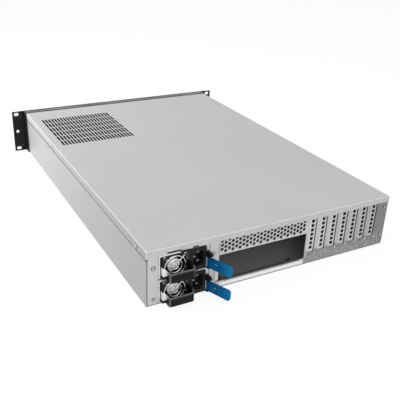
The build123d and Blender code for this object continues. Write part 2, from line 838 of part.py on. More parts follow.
with BuildPart() as control_board:
    board_bottom = control_board_margin
    control_board_height = power_button_height + power_button - board_bottom
    half_board = control_board_width / 2
    box_between(control_x - half_board, control_x + half_board, control_back_y,
                control_back_y + control_board_sheet, board_bottom, board_bottom + control_board_height)
    spacer_places = [board_bottom + 3, board_bottom + control_board_height - 3]
    for z in spacer_places:
        box_between(control_x + half_board - 5, control_x + half_board - 1, control_back_y - control_board_back,
                    control_back_y, z - 2, z + 2)
    button_back = front_face + front_sheet + fit_gap + button_collar
    for z in (power_button_height, reset_button_height):
        box_between(control_x - switch_size / 2, control_x + switch_size / 2,
                    button_back + button_travel + fit_gap, control_back_y, z - switch_size / 2, z + switch_size / 2)
save(control_board, "control_board")


def front_button(z, size):
    """Button cap with the collar that keeps it behind the front panel."""
    with BuildPart() as button:
        with BuildSketch(upright(button_back)):
            with Locations((control_x, z)):
                Circle(size / 2)
        extrude(amount=button_back - front_face + button_proud)
        chamfer(button.edges().filter_by(GeomType.CIRCLE).sort_by(Axis.Y)[0], length=0.5)
        with BuildSketch(upright(button_back)):
            with Locations((control_x, z)):
                Rectangle(size + 2 * button_collar, size + 2 * button_collar)
        extrude(amount=button_collar)
    return button


save(front_button(power_button_height, power_button), "power_button")
save(front_button(reset_button_height, reset_button), "reset_button")

with BuildPart() as usb_ports:
    for z in port_heights:
        box_between(control_x - port_width / 2, control_x + port_width / 2, front_face + 0.2, control_back_y,
                    z - port_height / 2, z + port_height / 2)
        box_between(control_x - port_width / 2 + 0.4, control_x + port_width / 2 - 0.4, front_face,
                    front_face + port_depth - 3, z - port_height / 2 + 0.4, z + port_height / 2 - 0.4,
                    mode=Mode.SUBTRACT)
save(usb_ports, "usb_ports")

with BuildPart() as status_lamps:
    for z in lamp_heights:
        with Locations((control_x, (front_face + control_back_y) / 2, z)):
            Cylinder(lamp_size / 2, control_back_y - front_face, rotation=(90, 0, 0))
save(status_lamps, "status_lamps")


# One power supply, from the height of its floor
psu_front = rear_y - psu_depth
fan_inner_y = rear_y + psu_fan_proud - psu_fan_length
guard_back = rear_y + psu_fan_proud
inlet_x = psu_right + inlet_from_right
inlet_flange_height = psu_height - 2 * inlet_flange_gap
inlet_body_width = inlet_flange_width - inlet_flange_rim
inlet_body_height = inlet_flange_height - 2 * inlet_flange_rim
psu_fan_bore = fan_frame - 2 * psu_fan_wall
screw_reach = fan_frame / 2 - psu_screw_from_edge
psu_screws = [(-screw_reach, screw_reach), (screw_reach, screw_reach), (-screw_reach, -screw_reach)]
psu_fan_screw = 2.4
guard_screw_head = 1.2
psu_screw_length = 6.0


def psu_shell(floor):
    """Folded box, open where the fan and the inlet pass and slotted at its inner end."""
    middle_z = floor + psu_height / 2
    with BuildPart() as shell:
        box_between(psu_right, psu_left, psu_front, rear_y, floor, floor + psu_height)
        box_between(psu_right + psu_sheet, psu_left - psu_sheet, psu_front + psu_sheet, rear_y - psu_sheet,
                    floor + psu_sheet, floor + psu_height - psu_sheet, mode=Mode.SUBTRACT)
        with BuildSketch(upright(rear_y)):
            with Locations((fan_x, middle_z)):
                Rectangle(fan_frame + 2 * screw_gap, fan_frame + 2 * screw_gap)
            with Locations((inlet_x, middle_z)):
                Rectangle(inlet_body_width + 2 * screw_gap, inlet_body_height + 2 * screw_gap)
        extrude(amount=psu_sheet, mode=Mode.SUBTRACT)
        plug_z = floor + psu_sheet + psu_board_lift + board_sheet / 2
        with BuildSketch(upright(psu_front + psu_sheet)):
            with Locations((psu_x, plug_z)):
                Rectangle(plug_width + 4 * fit_gap, board_sheet + 4 * fit_gap)
            with Locations((psu_x, middle_z + psu_height * 0.2)):
                with GridLocations(psu_width / 12, 1, 10, 1):
                    Rectangle(psu_width / 30, psu_height * 0.4)
        extrude(amount=psu_sheet, mode=Mode.SUBTRACT)
    return shell


def psu_board(floor):
    """Circuit board on four spacers, with the plug edge that passes the shell's end."""
    low = floor + psu_sheet + psu_board_lift
    side_gap = psu_sheet + 3.0
    with BuildPart() as board:
        back_y = fan_inner_y - 4.0
        near_y = psu_front + 2.0
        box_between(psu_right + side_gap, psu_left - side_gap, near_y, back_y, low, low + board_sheet)
        box_between(psu_x - plug_width / 2, psu_x + plug_width / 2, psu_front - plug_length, near_y,
                    low, low + board_sheet)
        for x in (psu_right + side_gap + 3, psu_left - side_gap - 3):
            for y in (near_y + 4, back_y - 4):
                box_between(x - 2, x + 2, y - 2, y + 2, floor + psu_sheet, low)
    return board


def psu_guard(floor):
    """Wire guard: rings on two crossed bars, with an eye at each screw."""
    guard_ring = fan_frame - 2 * guard_from_edge
    with BuildPart() as guard:
        with BuildSketch(upright(guard_back + guard_wire)):
            with Locations((fan_x, floor + psu_height / 2)):
                for ring in (guard_ring, guard_inner_ring):
                    RegularPolygon(ring / 2 + guard_wire / 2, guard_sides)
                    RegularPolygon(ring / 2 - guard_wire / 2, guard_sides, mode=Mode.SUBTRACT)
                Rectangle(guard_ring, guard_wire, rotation=45)
                Rectangle(guard_ring, guard_wire, rotation=-45)
            link_start = guard_ring / 2 - guard_wire
            link_end = sqrt(2) * screw_reach - psu_fan_screw * 0.7
            link_middle = (link_start + link_end) / 2 / sqrt(2) / screw_reach
            for x, z in psu_screws:
                toward = 45 if x * z > 0 else -45
                middle = (fan_x + x * link_middle, floor + psu_height / 2 + z * link_middle)
                with Locations(middle):
                    Rectangle(link_end - link_start, guard_wire, rotation=toward)
                with Locations((fan_x + x, floor + psu_height / 2 + z)):
                    RegularPolygon(psu_fan_screw, 8)
                    RegularPolygon(psu_fan_screw / 2 + screw_gap, 8, major_radius=False, mode=Mode.SUBTRACT)
        extrude(amount=guard_wire)
    return guard


def psu_fan_screws(floor):
    """Three screws through the guard's eyes into the fan frame."""
    with BuildPart() as blank:
        with BuildSketch():
            RegularPolygon(psu_fan_screw, 10)
        extrude(amount=guard_screw_head)
        with BuildSketch():
            RegularPolygon(psu_fan_screw / 2, 6)
        extrude(amount=-psu_screw_length)
    screw_blank = blank.part
    with BuildPart() as screws:
        for x, z in psu_screws:
            place_x = fan_x + x
            place_z = floor + psu_height / 2 + z
            with Locations(facing((place_x, guard_back + guard_wire, place_z), (0, 1, 0))):
                add(screw_blank)
    return screws


def psu_inlet(floor):
    """Inlet stood on end: flange, body and a socket with two cut corners."""
    middle_z = floor + psu_height / 2
    with BuildPart() as inlet:
        with BuildSketch(upright(rear_y + inlet_flange_proud)):
            with Locations((inlet_x, middle_z)):
                RectangleRounded(inlet_flange_width, inlet_flange_height, inlet_flange_corner)
        extrude(amount=inlet_flange_proud)
        with BuildSketch(upright(rear_y)):
            with Locations((inlet_x, middle_z)):
                Rectangle(inlet_body_width, inlet_body_height)
        extrude(amount=inlet_depth)
        with BuildSketch(upright(rear_y + inlet_flange_proud)) as socket:
            with BuildLine():
                left = inlet_x + inlet_socket_width / 2
                right = inlet_x - inlet_socket_width / 2
                half = inlet_socket_height / 2
                Polyline(
                    (right, middle_z - half),
                    (left - inlet_socket_corner, middle_z - half),
                    (left, middle_z - half + inlet_socket_corner),
                    (left, middle_z + half - inlet_socket_corner),
                    (left - inlet_socket_corner, middle_z + half),
                    (right, middle_z + half),
                    close=True,
                )
            make_face()
        extrude(amount=inlet_depth, mode=Mode.SUBTRACT)
    return inlet


def inlet_pins(floor):
    """Earth pin at the cut corners and the two line pins across from it."""
    middle_z = floor + psu_height / 2
    seat_y = rear_y + inlet_flange_proud - inlet_depth
    with BuildPart() as pins:
        line_x = inlet_x - line_pin_from_middle
        places = [(line_x, middle_z + line_pin_spread), (line_x, middle_z - line_pin_spread)]
        places.append((inlet_x + earth_pin_from_middle, middle_z))
        with Locations(*[(x, seat_y + inlet_pin_length / 2, z) for x, z in places]):
            Box(inlet_pin_width, inlet_pin_length, inlet_pin_sheet)
    return pins


def psu_handle(floor):
    """Pull handle: a bar on a shallow tray, with a tall cheek whose edge curves down to the bar."""
    low = floor + handle_from_bottom
    left = psu_left - handle_from_left
    right = left - handle_width
    end_y = rear_y + handle_reach
    level_y = rear_y + handle_reach / 2
    cheek_top = low + handle_cheek_height
    bar_top = low + handle_bar_height
    with BuildPart() as handle:
        with BuildSketch(Plane.XY.offset(low)):
            with Locations(((left + right) / 2, (rear_y + end_y) / 2)):
                Rectangle(handle_width, handle_reach)
            fillet(vertices().group_by(Axis.Y)[-1], radius=handle_corner)
        extrude(amount=handle_cheek_height)
        with BuildSketch(Plane.YZ.offset(right)):
            with BuildLine():
                Polyline((end_y, bar_top), (end_y, low), (rear_y, low), (rear_y, cheek_top), (level_y, cheek_top))
                turn = sin(radians(45))
                middle = (level_y + (end_y - level_y) * turn, cheek_top - (cheek_top - bar_top) * (1 - turn))
                ThreePointArc((level_y, cheek_top), middle, (end_y, bar_top))
            make_face()
        extrude(amount=handle_width, mode=Mode.INTERSECT)
        box_between(right + handle_strap, left - handle_strap, rear_y, end_y - handle_strap, low + handle_tray,
                    2 * cheek_top, mode=Mode.SUBTRACT)
        box_between(left - handle_strap, left + handle_strap, rear_y, end_y - handle_corner,
                    low + handle_left_height, 2 * cheek_top, mode=Mode.SUBTRACT)
        box_between(fan_x - fan_frame / 2, left + handle_strap, rear_y, guard_back, low, 2 * cheek_top,
                    mode=Mode.SUBTRACT)
        # Room for the guard's lower eye and its screw
        eye_x = fan_x - screw_reach
        eye_half = psu_fan_screw + fit_gap
        box_between(eye_x - eye_half, eye_x + eye_half, guard_back, guard_back + guard_wire + guard_screw_head + fit_gap,
                    low, cheek_top, mode=Mode.SUBTRACT)
    return handle


latch_x = psu_right + latch_from_right + latch_block_width / 2
latch_y = rear_y + latch_pin_from_face


def latch_block(floor):
    """Clevis on the face of the supply, its upper lug drawn out over the lever, with its upright pin."""
    middle_z = floor + lever_rise
    half = lever_root_height / 2 + fit_gap
    right = latch_x - latch_block_width / 2
    lug_bottom = middle_z + half
    lug_top = lug_bottom + latch_top
    with BuildPart() as block:
        box_between(right, right + latch_block_width, rear_y, rear_y + latch_block_reach,
                    middle_z - half - latch_lug, middle_z - half)
        with BuildSketch(Plane.YZ.offset(right)):
            Polygon(
                (rear_y, lug_bottom),
                (rear_y + latch_block_reach, lug_bottom),
                (rear_y + latch_top_reach, lug_bottom + latch_top / 2),
                (rear_y + latch_top_reach, lug_top),
                (rear_y, lug_top),
                align=None,
            )
        extrude(amount=latch_block_width)
        with Locations((latch_x, latch_y, middle_z)):
            Cylinder(latch_pin / 2, 2 * half + latch_lug)
    return block


def lever_plane(floor):
    """Plane of the lever: x along it, y up, z to the side of the inlet."""
    lean = radians(lever_lean)
    origin = (latch_x, latch_y, floor + lever_rise)
    return Plane(origin=origin, x_dir=(-sin(lean), cos(lean), 0), z_dir=(cos(lean), sin(lean), 0))


def release_lever(floor):
    """Flat lever with a window and a thickened end."""
    plane = lever_plane(floor)
    top = lever_root_height / 2
    tip_low = top - lever_tip_height
    root = latch_pin / 2 + lever_root_end
    with BuildPart() as lever:
        with BuildSketch(plane.offset(-lever_sheet / 2)):
            Polygon(
                (-root, -top),
                (lever_length / 4, -top),
                (lever_length, tip_low),
                (lever_length, top),
                (-root, top),
                align=None,
            )
            tip_corners = vertices().group_by(Axis.X)[-1]
            fillet(tip_corners, radius=lever_corner)
            with Locations((lever_length / 3, 0)):
                Rectangle(lever_window, lever_window, mode=Mode.SUBTRACT)
        extrude(amount=lever_sheet)
        with BuildSketch(plane.offset(-lever_sheet / 2 - lever_pad_sheet)):
            with Locations((lever_length - lever_pad / 2, top - lever_tip_height / 2)):
                Rectangle(lever_pad, lever_tip_height - 2 * lever_corner)
        extrude(amount=lever_pad_sheet)
        with Locations(Location(plane.origin)):
            Cylinder(latch_pin / 2 + pin_gap, 2 * lever_root_height, mode=Mode.SUBTRACT)
    return lever


def latch_arm(floor):
    """Thin steel arm on the lever's outer face, seen through its window."""
    reach = lever_root_height / 2 - latch_lug
    with BuildPart() as arm:
        with BuildSketch(lever_plane(floor).offset(-lever_sheet / 2 - arm_sheet)):
            with Locations(((arm_start + arm_length) / 2, 0)):
                Rectangle(arm_length - arm_start, 2 * reach)
        extrude(amount=arm_sheet)
    return arm


psu_frame_blank = fan_body(fan_frame, psu_fan_bore, psu_fan_length, psu_hub * 0.9, boss_depth,
                           [(-x, z) for x, z in psu_screws], psu_fan_screw / 2 + screw_gap)
psu_rotor_blank = blade_wheel(psu_hub, psu_fan_bore - 2 * running_gap, psu_fan_length - boss_depth - 3.0,
                              psu_blade_chord, boss_depth - 0.5)

for number, floor in enumerate(psu_floors):
    name = f"psu_{number + 1}"
    fan_middle = floor + psu_height / 2
    save(psu_shell(floor), f"{name}_shell")
    save(psu_board(floor), f"{name}_board")
    save(placed(psu_frame_blank, fan_x, fan_inner_y, fan_middle), f"{name}_fan_frame")
    save(placed(psu_rotor_blank, fan_x, fan_inner_y + boss_depth + 0.5, fan_middle), f"{name}_fan_rotor")
    save(psu_guard(floor), f"{name}_fan_guard")
    save(psu_fan_screws(floor), f"{name}_fan_screws")
    save(psu_inlet(floor), f"{name}_inlet")
    save(inlet_pins(floor), f"{name}_inlet_pins")
    save(psu_handle(floor), f"{name}_handle")
    save(latch_block(floor), f"{name}_latch_block")
    save(release_lever(floor), f"{name}_lever")
    save(latch_arm(floor), f"{name}_latch_arm")
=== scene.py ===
import math

import bmesh
import bpy
from mathutils import Matrix, Vector


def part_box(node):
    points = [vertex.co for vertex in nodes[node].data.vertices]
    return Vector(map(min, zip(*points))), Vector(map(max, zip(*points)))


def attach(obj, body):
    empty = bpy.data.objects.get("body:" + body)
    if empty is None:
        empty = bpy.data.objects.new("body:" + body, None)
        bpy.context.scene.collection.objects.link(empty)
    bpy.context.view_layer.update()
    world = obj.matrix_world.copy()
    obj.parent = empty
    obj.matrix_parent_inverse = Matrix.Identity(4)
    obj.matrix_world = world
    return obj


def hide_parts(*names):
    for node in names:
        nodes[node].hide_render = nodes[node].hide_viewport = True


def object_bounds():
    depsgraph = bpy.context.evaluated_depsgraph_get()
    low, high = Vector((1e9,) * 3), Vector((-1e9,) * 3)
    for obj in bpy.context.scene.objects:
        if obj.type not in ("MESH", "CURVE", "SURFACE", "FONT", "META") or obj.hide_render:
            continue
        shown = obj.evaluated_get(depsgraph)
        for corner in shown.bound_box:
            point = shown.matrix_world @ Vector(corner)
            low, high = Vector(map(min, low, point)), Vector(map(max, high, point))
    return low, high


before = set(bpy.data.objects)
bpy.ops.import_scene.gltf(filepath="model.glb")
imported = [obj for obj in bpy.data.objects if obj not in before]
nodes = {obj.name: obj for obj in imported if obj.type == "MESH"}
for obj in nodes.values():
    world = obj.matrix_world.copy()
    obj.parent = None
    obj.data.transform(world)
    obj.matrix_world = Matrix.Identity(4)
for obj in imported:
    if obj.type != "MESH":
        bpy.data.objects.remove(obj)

cad_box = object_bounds()
MM = 0.001
REARWARD = Vector((0, 1, 0))

# Places on the case where a tone changes, in metres
SLOT_PITCH = 0.02032
LAST_SLOT_X = -0.186
SLOT_COUNT = 7
TRAY_SEAM_X = 0.2135
TRAY_INSIDE_X = 0.2140
TRAY_LIP_Y = 0.3207
COVER_SEAM = (0.0732, 0.0762)
PANEL_BACK_Y = 0.3238
PANEL_FACE_Y = 0.325
BAY_EDGE_X = 0.1168
BAY_EDGE_TOP = 0.0793
COVER_FLANGE_X = 0.2145
COVER_INSIDE_X = 0.2143
COVER_TOP_Z = 0.0874
VENT_X = (0.0553, 0.1996)
VENT_Y = (-0.2523, -0.0927)
VENT_PITCH = (0.00627, 0.0266)


# Node materials

class Graph:
    """One material and its node tree, with short calls to add and link nodes."""

    def __init__(self, name):
        self.material = bpy.data.materials.new(name)
        self.material.use_nodes = True
        self.tree = self.material.node_tree
        self.shader = self.tree.nodes["Principled BSDF"]
        where = self.add("ShaderNodeTexCoord")
        self.place = where.outputs["Object"]
        self.normal = where.outputs["Normal"]

    def add(self, kind, **values):
        made = self.tree.nodes.new(kind)
        for key, value in values.items():
            made.inputs[key].default_value = value
        return made

    def link(self, out, into):
        self.tree.links.new(out, into)

    def set(self, **values):
        for key, value in values.items():
            self.shader.inputs[key.replace("_", " ")].default_value = value

    def noise(self, scale, detail=3.0, stretch=(1, 1, 1), rough=0.5):
        """Noise over the object place in metres, scaled along each axis."""
        mapping = self.add("ShaderNodeMapping", Scale=stretch)
        self.link(self.place, mapping.inputs["Vector"])
        made = self.add("ShaderNodeTexNoise", Scale=scale, Detail=detail, Roughness=rough)
        self.link(mapping.outputs["Vector"], made.inputs["Vector"])
        return made.outputs["Fac"]

    def crystals(self, scale=90.0):
        """Two random tones for each zinc crystal."""
        made = self.add("ShaderNodeTexVoronoi", Scale=scale)
        self.link(self.place, made.inputs["Vector"])
        apart = self.add("ShaderNodeSeparateColor")
        self.link(made.outputs["Color"], apart.inputs["Color"])
        return apart.outputs["Red"], apart.outputs["Green"]

    def spread(self, value, low, high, start=0.0, end=1.0):
        """Low to high as the value goes from start to end."""
        made = self.add("ShaderNodeMapRange")
        made.inputs["From Min"].default_value = start
        made.inputs["From Max"].default_value = end
        made.inputs["To Min"].default_value = low
        made.inputs["To Max"].default_value = high
        self.link(value, made.inputs["Value"])
        return made.outputs["Result"]

    def past(self, value, edge, soft=0.0001):
        """1 where the value is above the edge, 0 below it."""
        return self.spread(value, 0.0, 1.0, edge - soft, edge + soft)

    def short_of(self, value, edge, soft=0.0001):
        """1 where the value is below the edge, 0 above it."""
        return self.spread(value, 1.0, 0.0, edge - soft, edge + soft)

    def within(self, value, low, high, soft=0.0002):
        """1 where the value lies between low and high, with soft ends."""
        return self.maths("MULTIPLY", self.past(value, low, soft), self.short_of(value, high, soft))

    def both(self, *masks):
        """1 where every mask is 1."""
        total = masks[0]
        for mask in masks[1:]:
            total = self.maths("MULTIPLY", total, mask)
        return total

    def maths(self, operation, a, b=0.0):
        made = self.add("ShaderNodeMath")
        made.operation = operation
        for socket, value in zip(made.inputs, (a, b)):
            if isinstance(value, (int, float)):
                socket.default_value = value
            else:
                self.link(value, socket)
        return made.outputs["Value"]

    def mix(self, fac, a, b):
        """Colour between a and b, each a tuple or a socket."""
        made = self.add("ShaderNodeMix")
        made.data_type = "RGBA"
        for socket, value in ((made.inputs[0], fac), (made.inputs[6], a), (made.inputs[7], b)):
            if isinstance(value, (int, float)):
                socket.default_value = value
            elif isinstance(value, tuple):
                socket.default_value = (*value, 1.0)
            else:
                self.link(value, socket)
        return made.outputs[2]

    def faded(self, mask, amount, a, b):
        """Colour b over a by a share of the mask."""
        return self.mix(self.maths("MULTIPLY", mask, amount), a, b)

    def mottled(self, noise, a, b):
        """Colour from a to b over the middle of a noise."""
        return self.mix(self.spread(noise, 0.0, 1.0, 0.3, 0.7), a, b)

    def blended(self, first, second, share):
        """Two noises added, the first by its share."""
        return self.maths("ADD", self.maths("MULTIPLY", first, share),
                          self.maths("MULTIPLY", second, 1.0 - share))

    def axes(self, source="place"):
        """X, Y and Z of the object place in metres, or of the object normal."""
        apart = self.add("ShaderNodeSeparateXYZ")
        self.link(self.place if source == "place" else self.normal, apart.inputs["Vector"])
        return apart.outputs["X"], apart.outputs["Y"], apart.outputs["Z"]

    def bend(self, end=0.15):
        """1 on bends and rounded edges, 0 on faces that look along an axis."""
        x, y, z = (self.maths("ABSOLUTE", part) for part in self.axes("normal"))
        largest = self.maths("MAXIMUM", self.maths("MAXIMUM", x, y), z)
        return self.spread(self.maths("SUBTRACT", 1.0, largest), 0.0, 1.0, 0.03, end)

    def finish(self, tone, noise, rough, half, bumps, bump, strength=0.35, reach=(0.3, 0.7), **values):
        """Link colour, roughness and bump, set the even values, and give the material."""
        self.link(tone, self.shader.inputs["Base Color"])
        self.link(self.spread(noise, rough - half, rough + half, *reach), self.shader.inputs["Roughness"])
        self.set(**values)
        made = self.add("ShaderNodeBump", Strength=strength, Distance=bump)
        self.link(bumps, made.inputs["Height"])
        self.link(made.outputs["Normal"], self.shader.inputs["Normal"])
        return self.material


def shade(colour, factor):
    return tuple(min(1.0, c * factor) for c in colour)


def around(colour, vary):
    """A slightly darker and a slightly lighter copy of a colour."""
    return shade(colour, 1 - vary), shade(colour, 1 + vary)


def sprayed(g, colour, vary=0.03):
    """Colour with a broad drift and a fine speckle, and the speckle itself."""
    fine = g.noise(1400.0, 2.0)
    return g.mottled(g.blended(g.noise(9.0, 2.0), fine, 0.5), *around(colour, vary)), fine


def painted(name, colour, rough, metal):
    """Sprayed metal: broad tone drift, a fine speckle and a light orange peel."""
    g = Graph(name)
    tone, fine = sprayed(g, colour)
    return g.finish(tone, fine, rough, 0.05, fine, 0.00001, Metallic=metal)


def brushed(name, colour, rough, metal, along, scale=500.0, vary=0.06):
    """Rolled or brushed steel: streaks along one axis, 0 for X, 1 for Y, 2 for Z."""
    g = Graph(name)
    stretch = tuple(0.03 if axis == along else 1.0 for axis in range(3))
    streaks = g.noise(scale, 4.0, stretch, 0.6)
    tone = g.mottled(g.blended(g.noise(14.0, 2.0), streaks, 0.45), *around(colour, vary))
    return g.finish(tone, streaks, rough, 0.08, streaks, 0.000012, 0.4, Metallic=metal)


def galvanised(name, colour, rough, metal, vary=0.07):
    """Zinc coated steel: pale and dark crystals under a fine grain."""
    g = Graph(name)
    first, second = g.crystals()
    fine = g.noise(900.0, 3.0)
    tone = g.mix(g.blended(first, fine, 0.6), *around(colour, vary))
    return g.finish(tone, second, rough, 0.07, fine, 0.00001, 0.3, (0.0, 1.0), Metallic=metal)


def moulded(name, colour, rough, grain=1600.0, vary=0.1, bump=0.00002):
    """Moulded plastic with a fine eroded grain."""
    g = Graph(name)
    fine = g.noise(grain, 4.0)
    tone = g.mottled(g.noise(40.0, 2.0), *around(colour, vary))
    return g.finish(tone, fine, rough, 0.08, fine, bump, 0.4, Specular_IOR_Level=0.5)


def black_with_edge_highlight(name, colour, rough, highlight, amount=0.8, gloss=0.3):
    """Black finish with a painted highlight along its rounded edges."""
    g = Graph(name)
    fine = g.noise(1800.0, 3.0)
    tone = g.faded(g.bend(), amount, g.mottled(fine, *around(colour, 0.1)), highlight)
    return g.finish(tone, fine, rough, 0.05, fine, 0.00003, Specular_IOR_Level=gloss)


def tray_material():
    """Case steel with painted shade: darker toward the rear, a little darker on its inner faces, and a dark
    painted shadow line under the cover's side flanges; a painted highlight on its upturned rear strip and a
    painted shadow line along the bottom of its rear edge.
    """
    g = Graph("case_steel")
    x, y, z = g.axes()
    tone, fine = sprayed(g, (0.465, 0.465, 0.47))
    # Painted shade: up to 13 per cent darker toward the rear
    tone = g.mix(g.spread(y, 0.0, 0.13, -0.32, 0.32), tone, (0.0, 0.0, 0.0))
    outward = g.maths("ABSOLUTE", x)
    # Painted shadow: a dark line under the cover's side flanges
    seam_shade = g.both(g.past(outward, TRAY_SEAM_X), g.within(z, *COVER_SEAM))
    # Painted shade: the inner faces a little darker
    inside_shade = g.both(g.short_of(outward, TRAY_INSIDE_X), g.short_of(y, TRAY_LIP_Y), g.past(z, 0.0007))
    # Painted highlight: the upturned rear strip nearly white
    lip_highlight = g.both(g.short_of(outward, TRAY_INSIDE_X), g.past(y, TRAY_LIP_Y), g.within(z, 0.0012, 0.0086))
    # Painted shadow: a dark line along the bottom of the rear edge
    foot = g.both(g.past(y, TRAY_LIP_Y), g.short_of(z, 0.00105, 0.00015))
    for mask, colour in ((seam_shade, (0.03, 0.03, 0.03)), (inside_shade, (0.40, 0.40, 0.402)),
                         (lip_highlight, (0.97, 0.97, 0.97)), (foot, (0.12, 0.12, 0.12))):
        tone = g.mix(mask, tone, colour)
    return g.finish(tone, fine, 0.42, 0.05, fine, 0.00001, Metallic=0.25)


def slot_places(g, x):
    """Each point's distance from the middle of its slot."""
    shifted = g.maths("SUBTRACT", x, LAST_SLOT_X - SLOT_PITCH / 2)
    return g.maths("SUBTRACT", g.maths("MODULO", shifted, SLOT_PITCH), SLOT_PITCH / 2)


def rear_material():
    """Rear panel: zinc that is pale at the supplies, with painted shade that greys it toward the slots and
    darkens its far end, darker and mottled below the slots, lines of painted shade below the slots and at the
    bay's edge, a grey sill, and painted shade behind its face and at its two ends.
    """
    g = Graph("rear_steel")
    x, y, z = g.axes()
    tone, fine = sprayed(g, (0.60, 0.60, 0.605))
    # Painted shade: greyer toward the slots, darkest at the far end
    tone = g.faded(g.spread(x, 1.0, 0.0, -0.16, -0.045), 0.75, tone, (0.36, 0.36, 0.37))
    tone = g.faded(g.spread(x, 1.0, 0.0, -0.186, -0.178), 0.9, tone, (0.20, 0.20, 0.21))
    grain = g.noise(420.0, 5.0, (1.0, 1.0, 0.6), 0.7)
    low = g.both(g.spread(z, 1.0, 0.0, 0.0215, 0.026), g.spread(x, 1.0, 0.0, -0.056, -0.050))
    spots = g.mix(g.spread(grain, 0.0, 1.0, 0.42, 0.6), (0.19, 0.19, 0.195), (0.38, 0.38, 0.39))
    tone = g.faded(low, 0.85, tone, spots)
    # Painted shade: two short dark lines below each slot
    reach = 0.0075
    at_slots = g.within(x, LAST_SLOT_X - reach, LAST_SLOT_X + (SLOT_COUNT - 1) * SLOT_PITCH + reach)
    lines = g.maths("MAXIMUM", g.within(z, 0.0148, 0.0153, 0.0001), g.within(z, 0.0178, 0.0183, 0.0001))
    marks = g.both(at_slots, lines, g.within(slot_places(g, x), -0.0045, 0.0045, 0.0006))
    tone = g.faded(marks, 0.75, tone, (0.05, 0.05, 0.05))
    # Painted shade: a dark line at the edge of the supply bay; and the grey sill below the board aperture
    upright = g.both(g.within(x, BAY_EDGE_X, 0.1181, 0.0001), g.within(z, 0.002, BAY_EDGE_TOP))
    level = g.both(g.within(z, 0.0781, BAY_EDGE_TOP, 0.0001), g.within(x, BAY_EDGE_X, 0.1275))
    tone = g.faded(g.maths("MAXIMUM", upright, level), 0.8, tone, (0.04, 0.04, 0.042))
    sill = g.both(g.within(z, 0.0056, 0.0106), g.within(x, -0.045, 0.0915, 0.0005))
    tone = g.mix(sill, tone, (0.27, 0.27, 0.275))
    # Painted shade: darker behind the panel's face
    tone = g.mix(g.short_of(y, PANEL_BACK_Y), tone, (0.12, 0.12, 0.125))
    # Painted shade: darker strips at the panel's two ends
    corner = g.both(g.past(g.maths("ABSOLUTE", x), 0.2125, 0.0002), g.past(y, PANEL_BACK_Y))
    tone = g.mix(corner, tone, (0.13, 0.13, 0.135))
    return g.finish(tone, fine, 0.41, 0.05, grain, 0.00002, 0.3, Metallic=0.25)


def cover_material():
    """Cover paint: with painted highlights on its bends, painted shade on its side flanges and inner side,
    and painted shade black round and within its air slots.
    """
    g = Graph("cover_paint")
    tone, fine = sprayed(g, (0.60, 0.60, 0.602))
    x, y, z = g.axes()
    outward = g.maths("ABSOLUTE", x)
    # Painted shade: side flanges darker than the top, and darker toward the rear
    flange_shade = g.mix(g.spread(y, 0.0, 1.0, -0.32, 0.32), (0.48, 0.48, 0.485), (0.43, 0.43, 0.435))
    tone = g.mix(g.past(outward, COVER_FLANGE_X), tone, flange_shade)
    # Painted highlight: bends paler, most along the rear edge
    edge = g.mix(g.spread(y, 0.0, 1.0, 0.318, 0.322), (0.70, 0.70, 0.70), (0.93, 0.93, 0.93))
    tone = g.faded(g.bend(0.12), 0.9, tone, edge)
    # Painted shade: the inner side darker
    inside_shade = g.both(g.short_of(outward, COVER_INSIDE_X), g.short_of(z, COVER_TOP_Z, 0.0002),
                    g.short_of(y, 0.3251))
    tone = g.mix(inside_shade, tone, (0.34, 0.34, 0.342))
    # Painted shade: black over each air slot and a thin rim round it
    cell_x = g.maths("MODULO", g.maths("SUBTRACT", x, 0.055325), VENT_PITCH[0])
    cell_y = g.maths("MODULO", g.maths("SUBTRACT", y, VENT_Y[0]), VENT_PITCH[1])
    field = g.both(g.within(x, *VENT_X), g.within(y, *VENT_Y), g.past(z, COVER_TOP_Z, 0.0002))
    vent_rim_shade = g.both(field, g.within(cell_x, 0.00121, 0.00506, 0.0001),
                     g.within(cell_y, 0.00148, 0.02512, 0.0001))
    tone = g.mix(vent_rim_shade, tone, (0.02, 0.02, 0.02))
    # Painted shade: upright faces near black, mostly within the air slots
    upright = g.spread(g.maths("ABSOLUTE", g.axes("normal")[2]), 1.0, 0.0, 0.2, 0.5)
    wall_shade = g.both(upright, g.short_of(outward, 0.206, 0.001), g.short_of(y, 0.319, 0.001))
    tone = g.mix(wall_shade, tone, (0.015, 0.015, 0.015))
    return g.finish(tone, fine, 0.63, 0.05, fine, 0.00001, Metallic=0.0, Specular_IOR_Level=0.15)


def slot_material():
    """Slot covers: upright brushing, with painted shade toward the far end and a painted shadow line down one
    side of each opening.
    """
    g = Graph("slot_cover_steel")
    streaks = g.noise(500.0, 4.0, (1.0, 1.0, 0.03), 0.6)
    tone = g.mottled(streaks, (0.62, 0.625, 0.63), (0.72, 0.725, 0.73))
    x, y, z = g.axes()
    # Painted shade: darker toward the far end
    tone = g.faded(g.spread(x, 1.0, 0.0, -0.19, -0.07), 0.45, tone, (0.30, 0.30, 0.31))
    # Painted shadow: a dark line down one side of each opening
    seam_shade = g.both(g.within(slot_places(g, x), -0.0069, -0.0053, 0.0001), g.past(y, 0.3231))
    tone = g.mix(seam_shade, tone, (0.006, 0.006, 0.006))
    return g.finish(tone, streaks, 0.39, 0.07, streaks, 0.000012, 0.4, Metallic=0.4)


def shell_material():
    """Supply shell: zinc, with its face black outside the fan and the inlet."""
    g = Graph("supply_shell")
    first, second = g.crystals()
    fine = g.noise(900.0, 3.0)
    x, y, z = g.axes()
    beside = g.maths("MAXIMUM", g.within(x, 0.1478, 0.1562), g.past(x, 0.192, 0.0005))
    dark = g.both(g.past(y, 0.3243), beside)
    tone = g.mix(dark, g.mix(first, (0.56, 0.57, 0.58), (0.66, 0.67, 0.68)), (0.012, 0.012, 0.012))
    return g.finish(tone, second, 0.38, 0.07, fine, 0.00001, 0.3, (0.0, 1.0), Metallic=0.5)


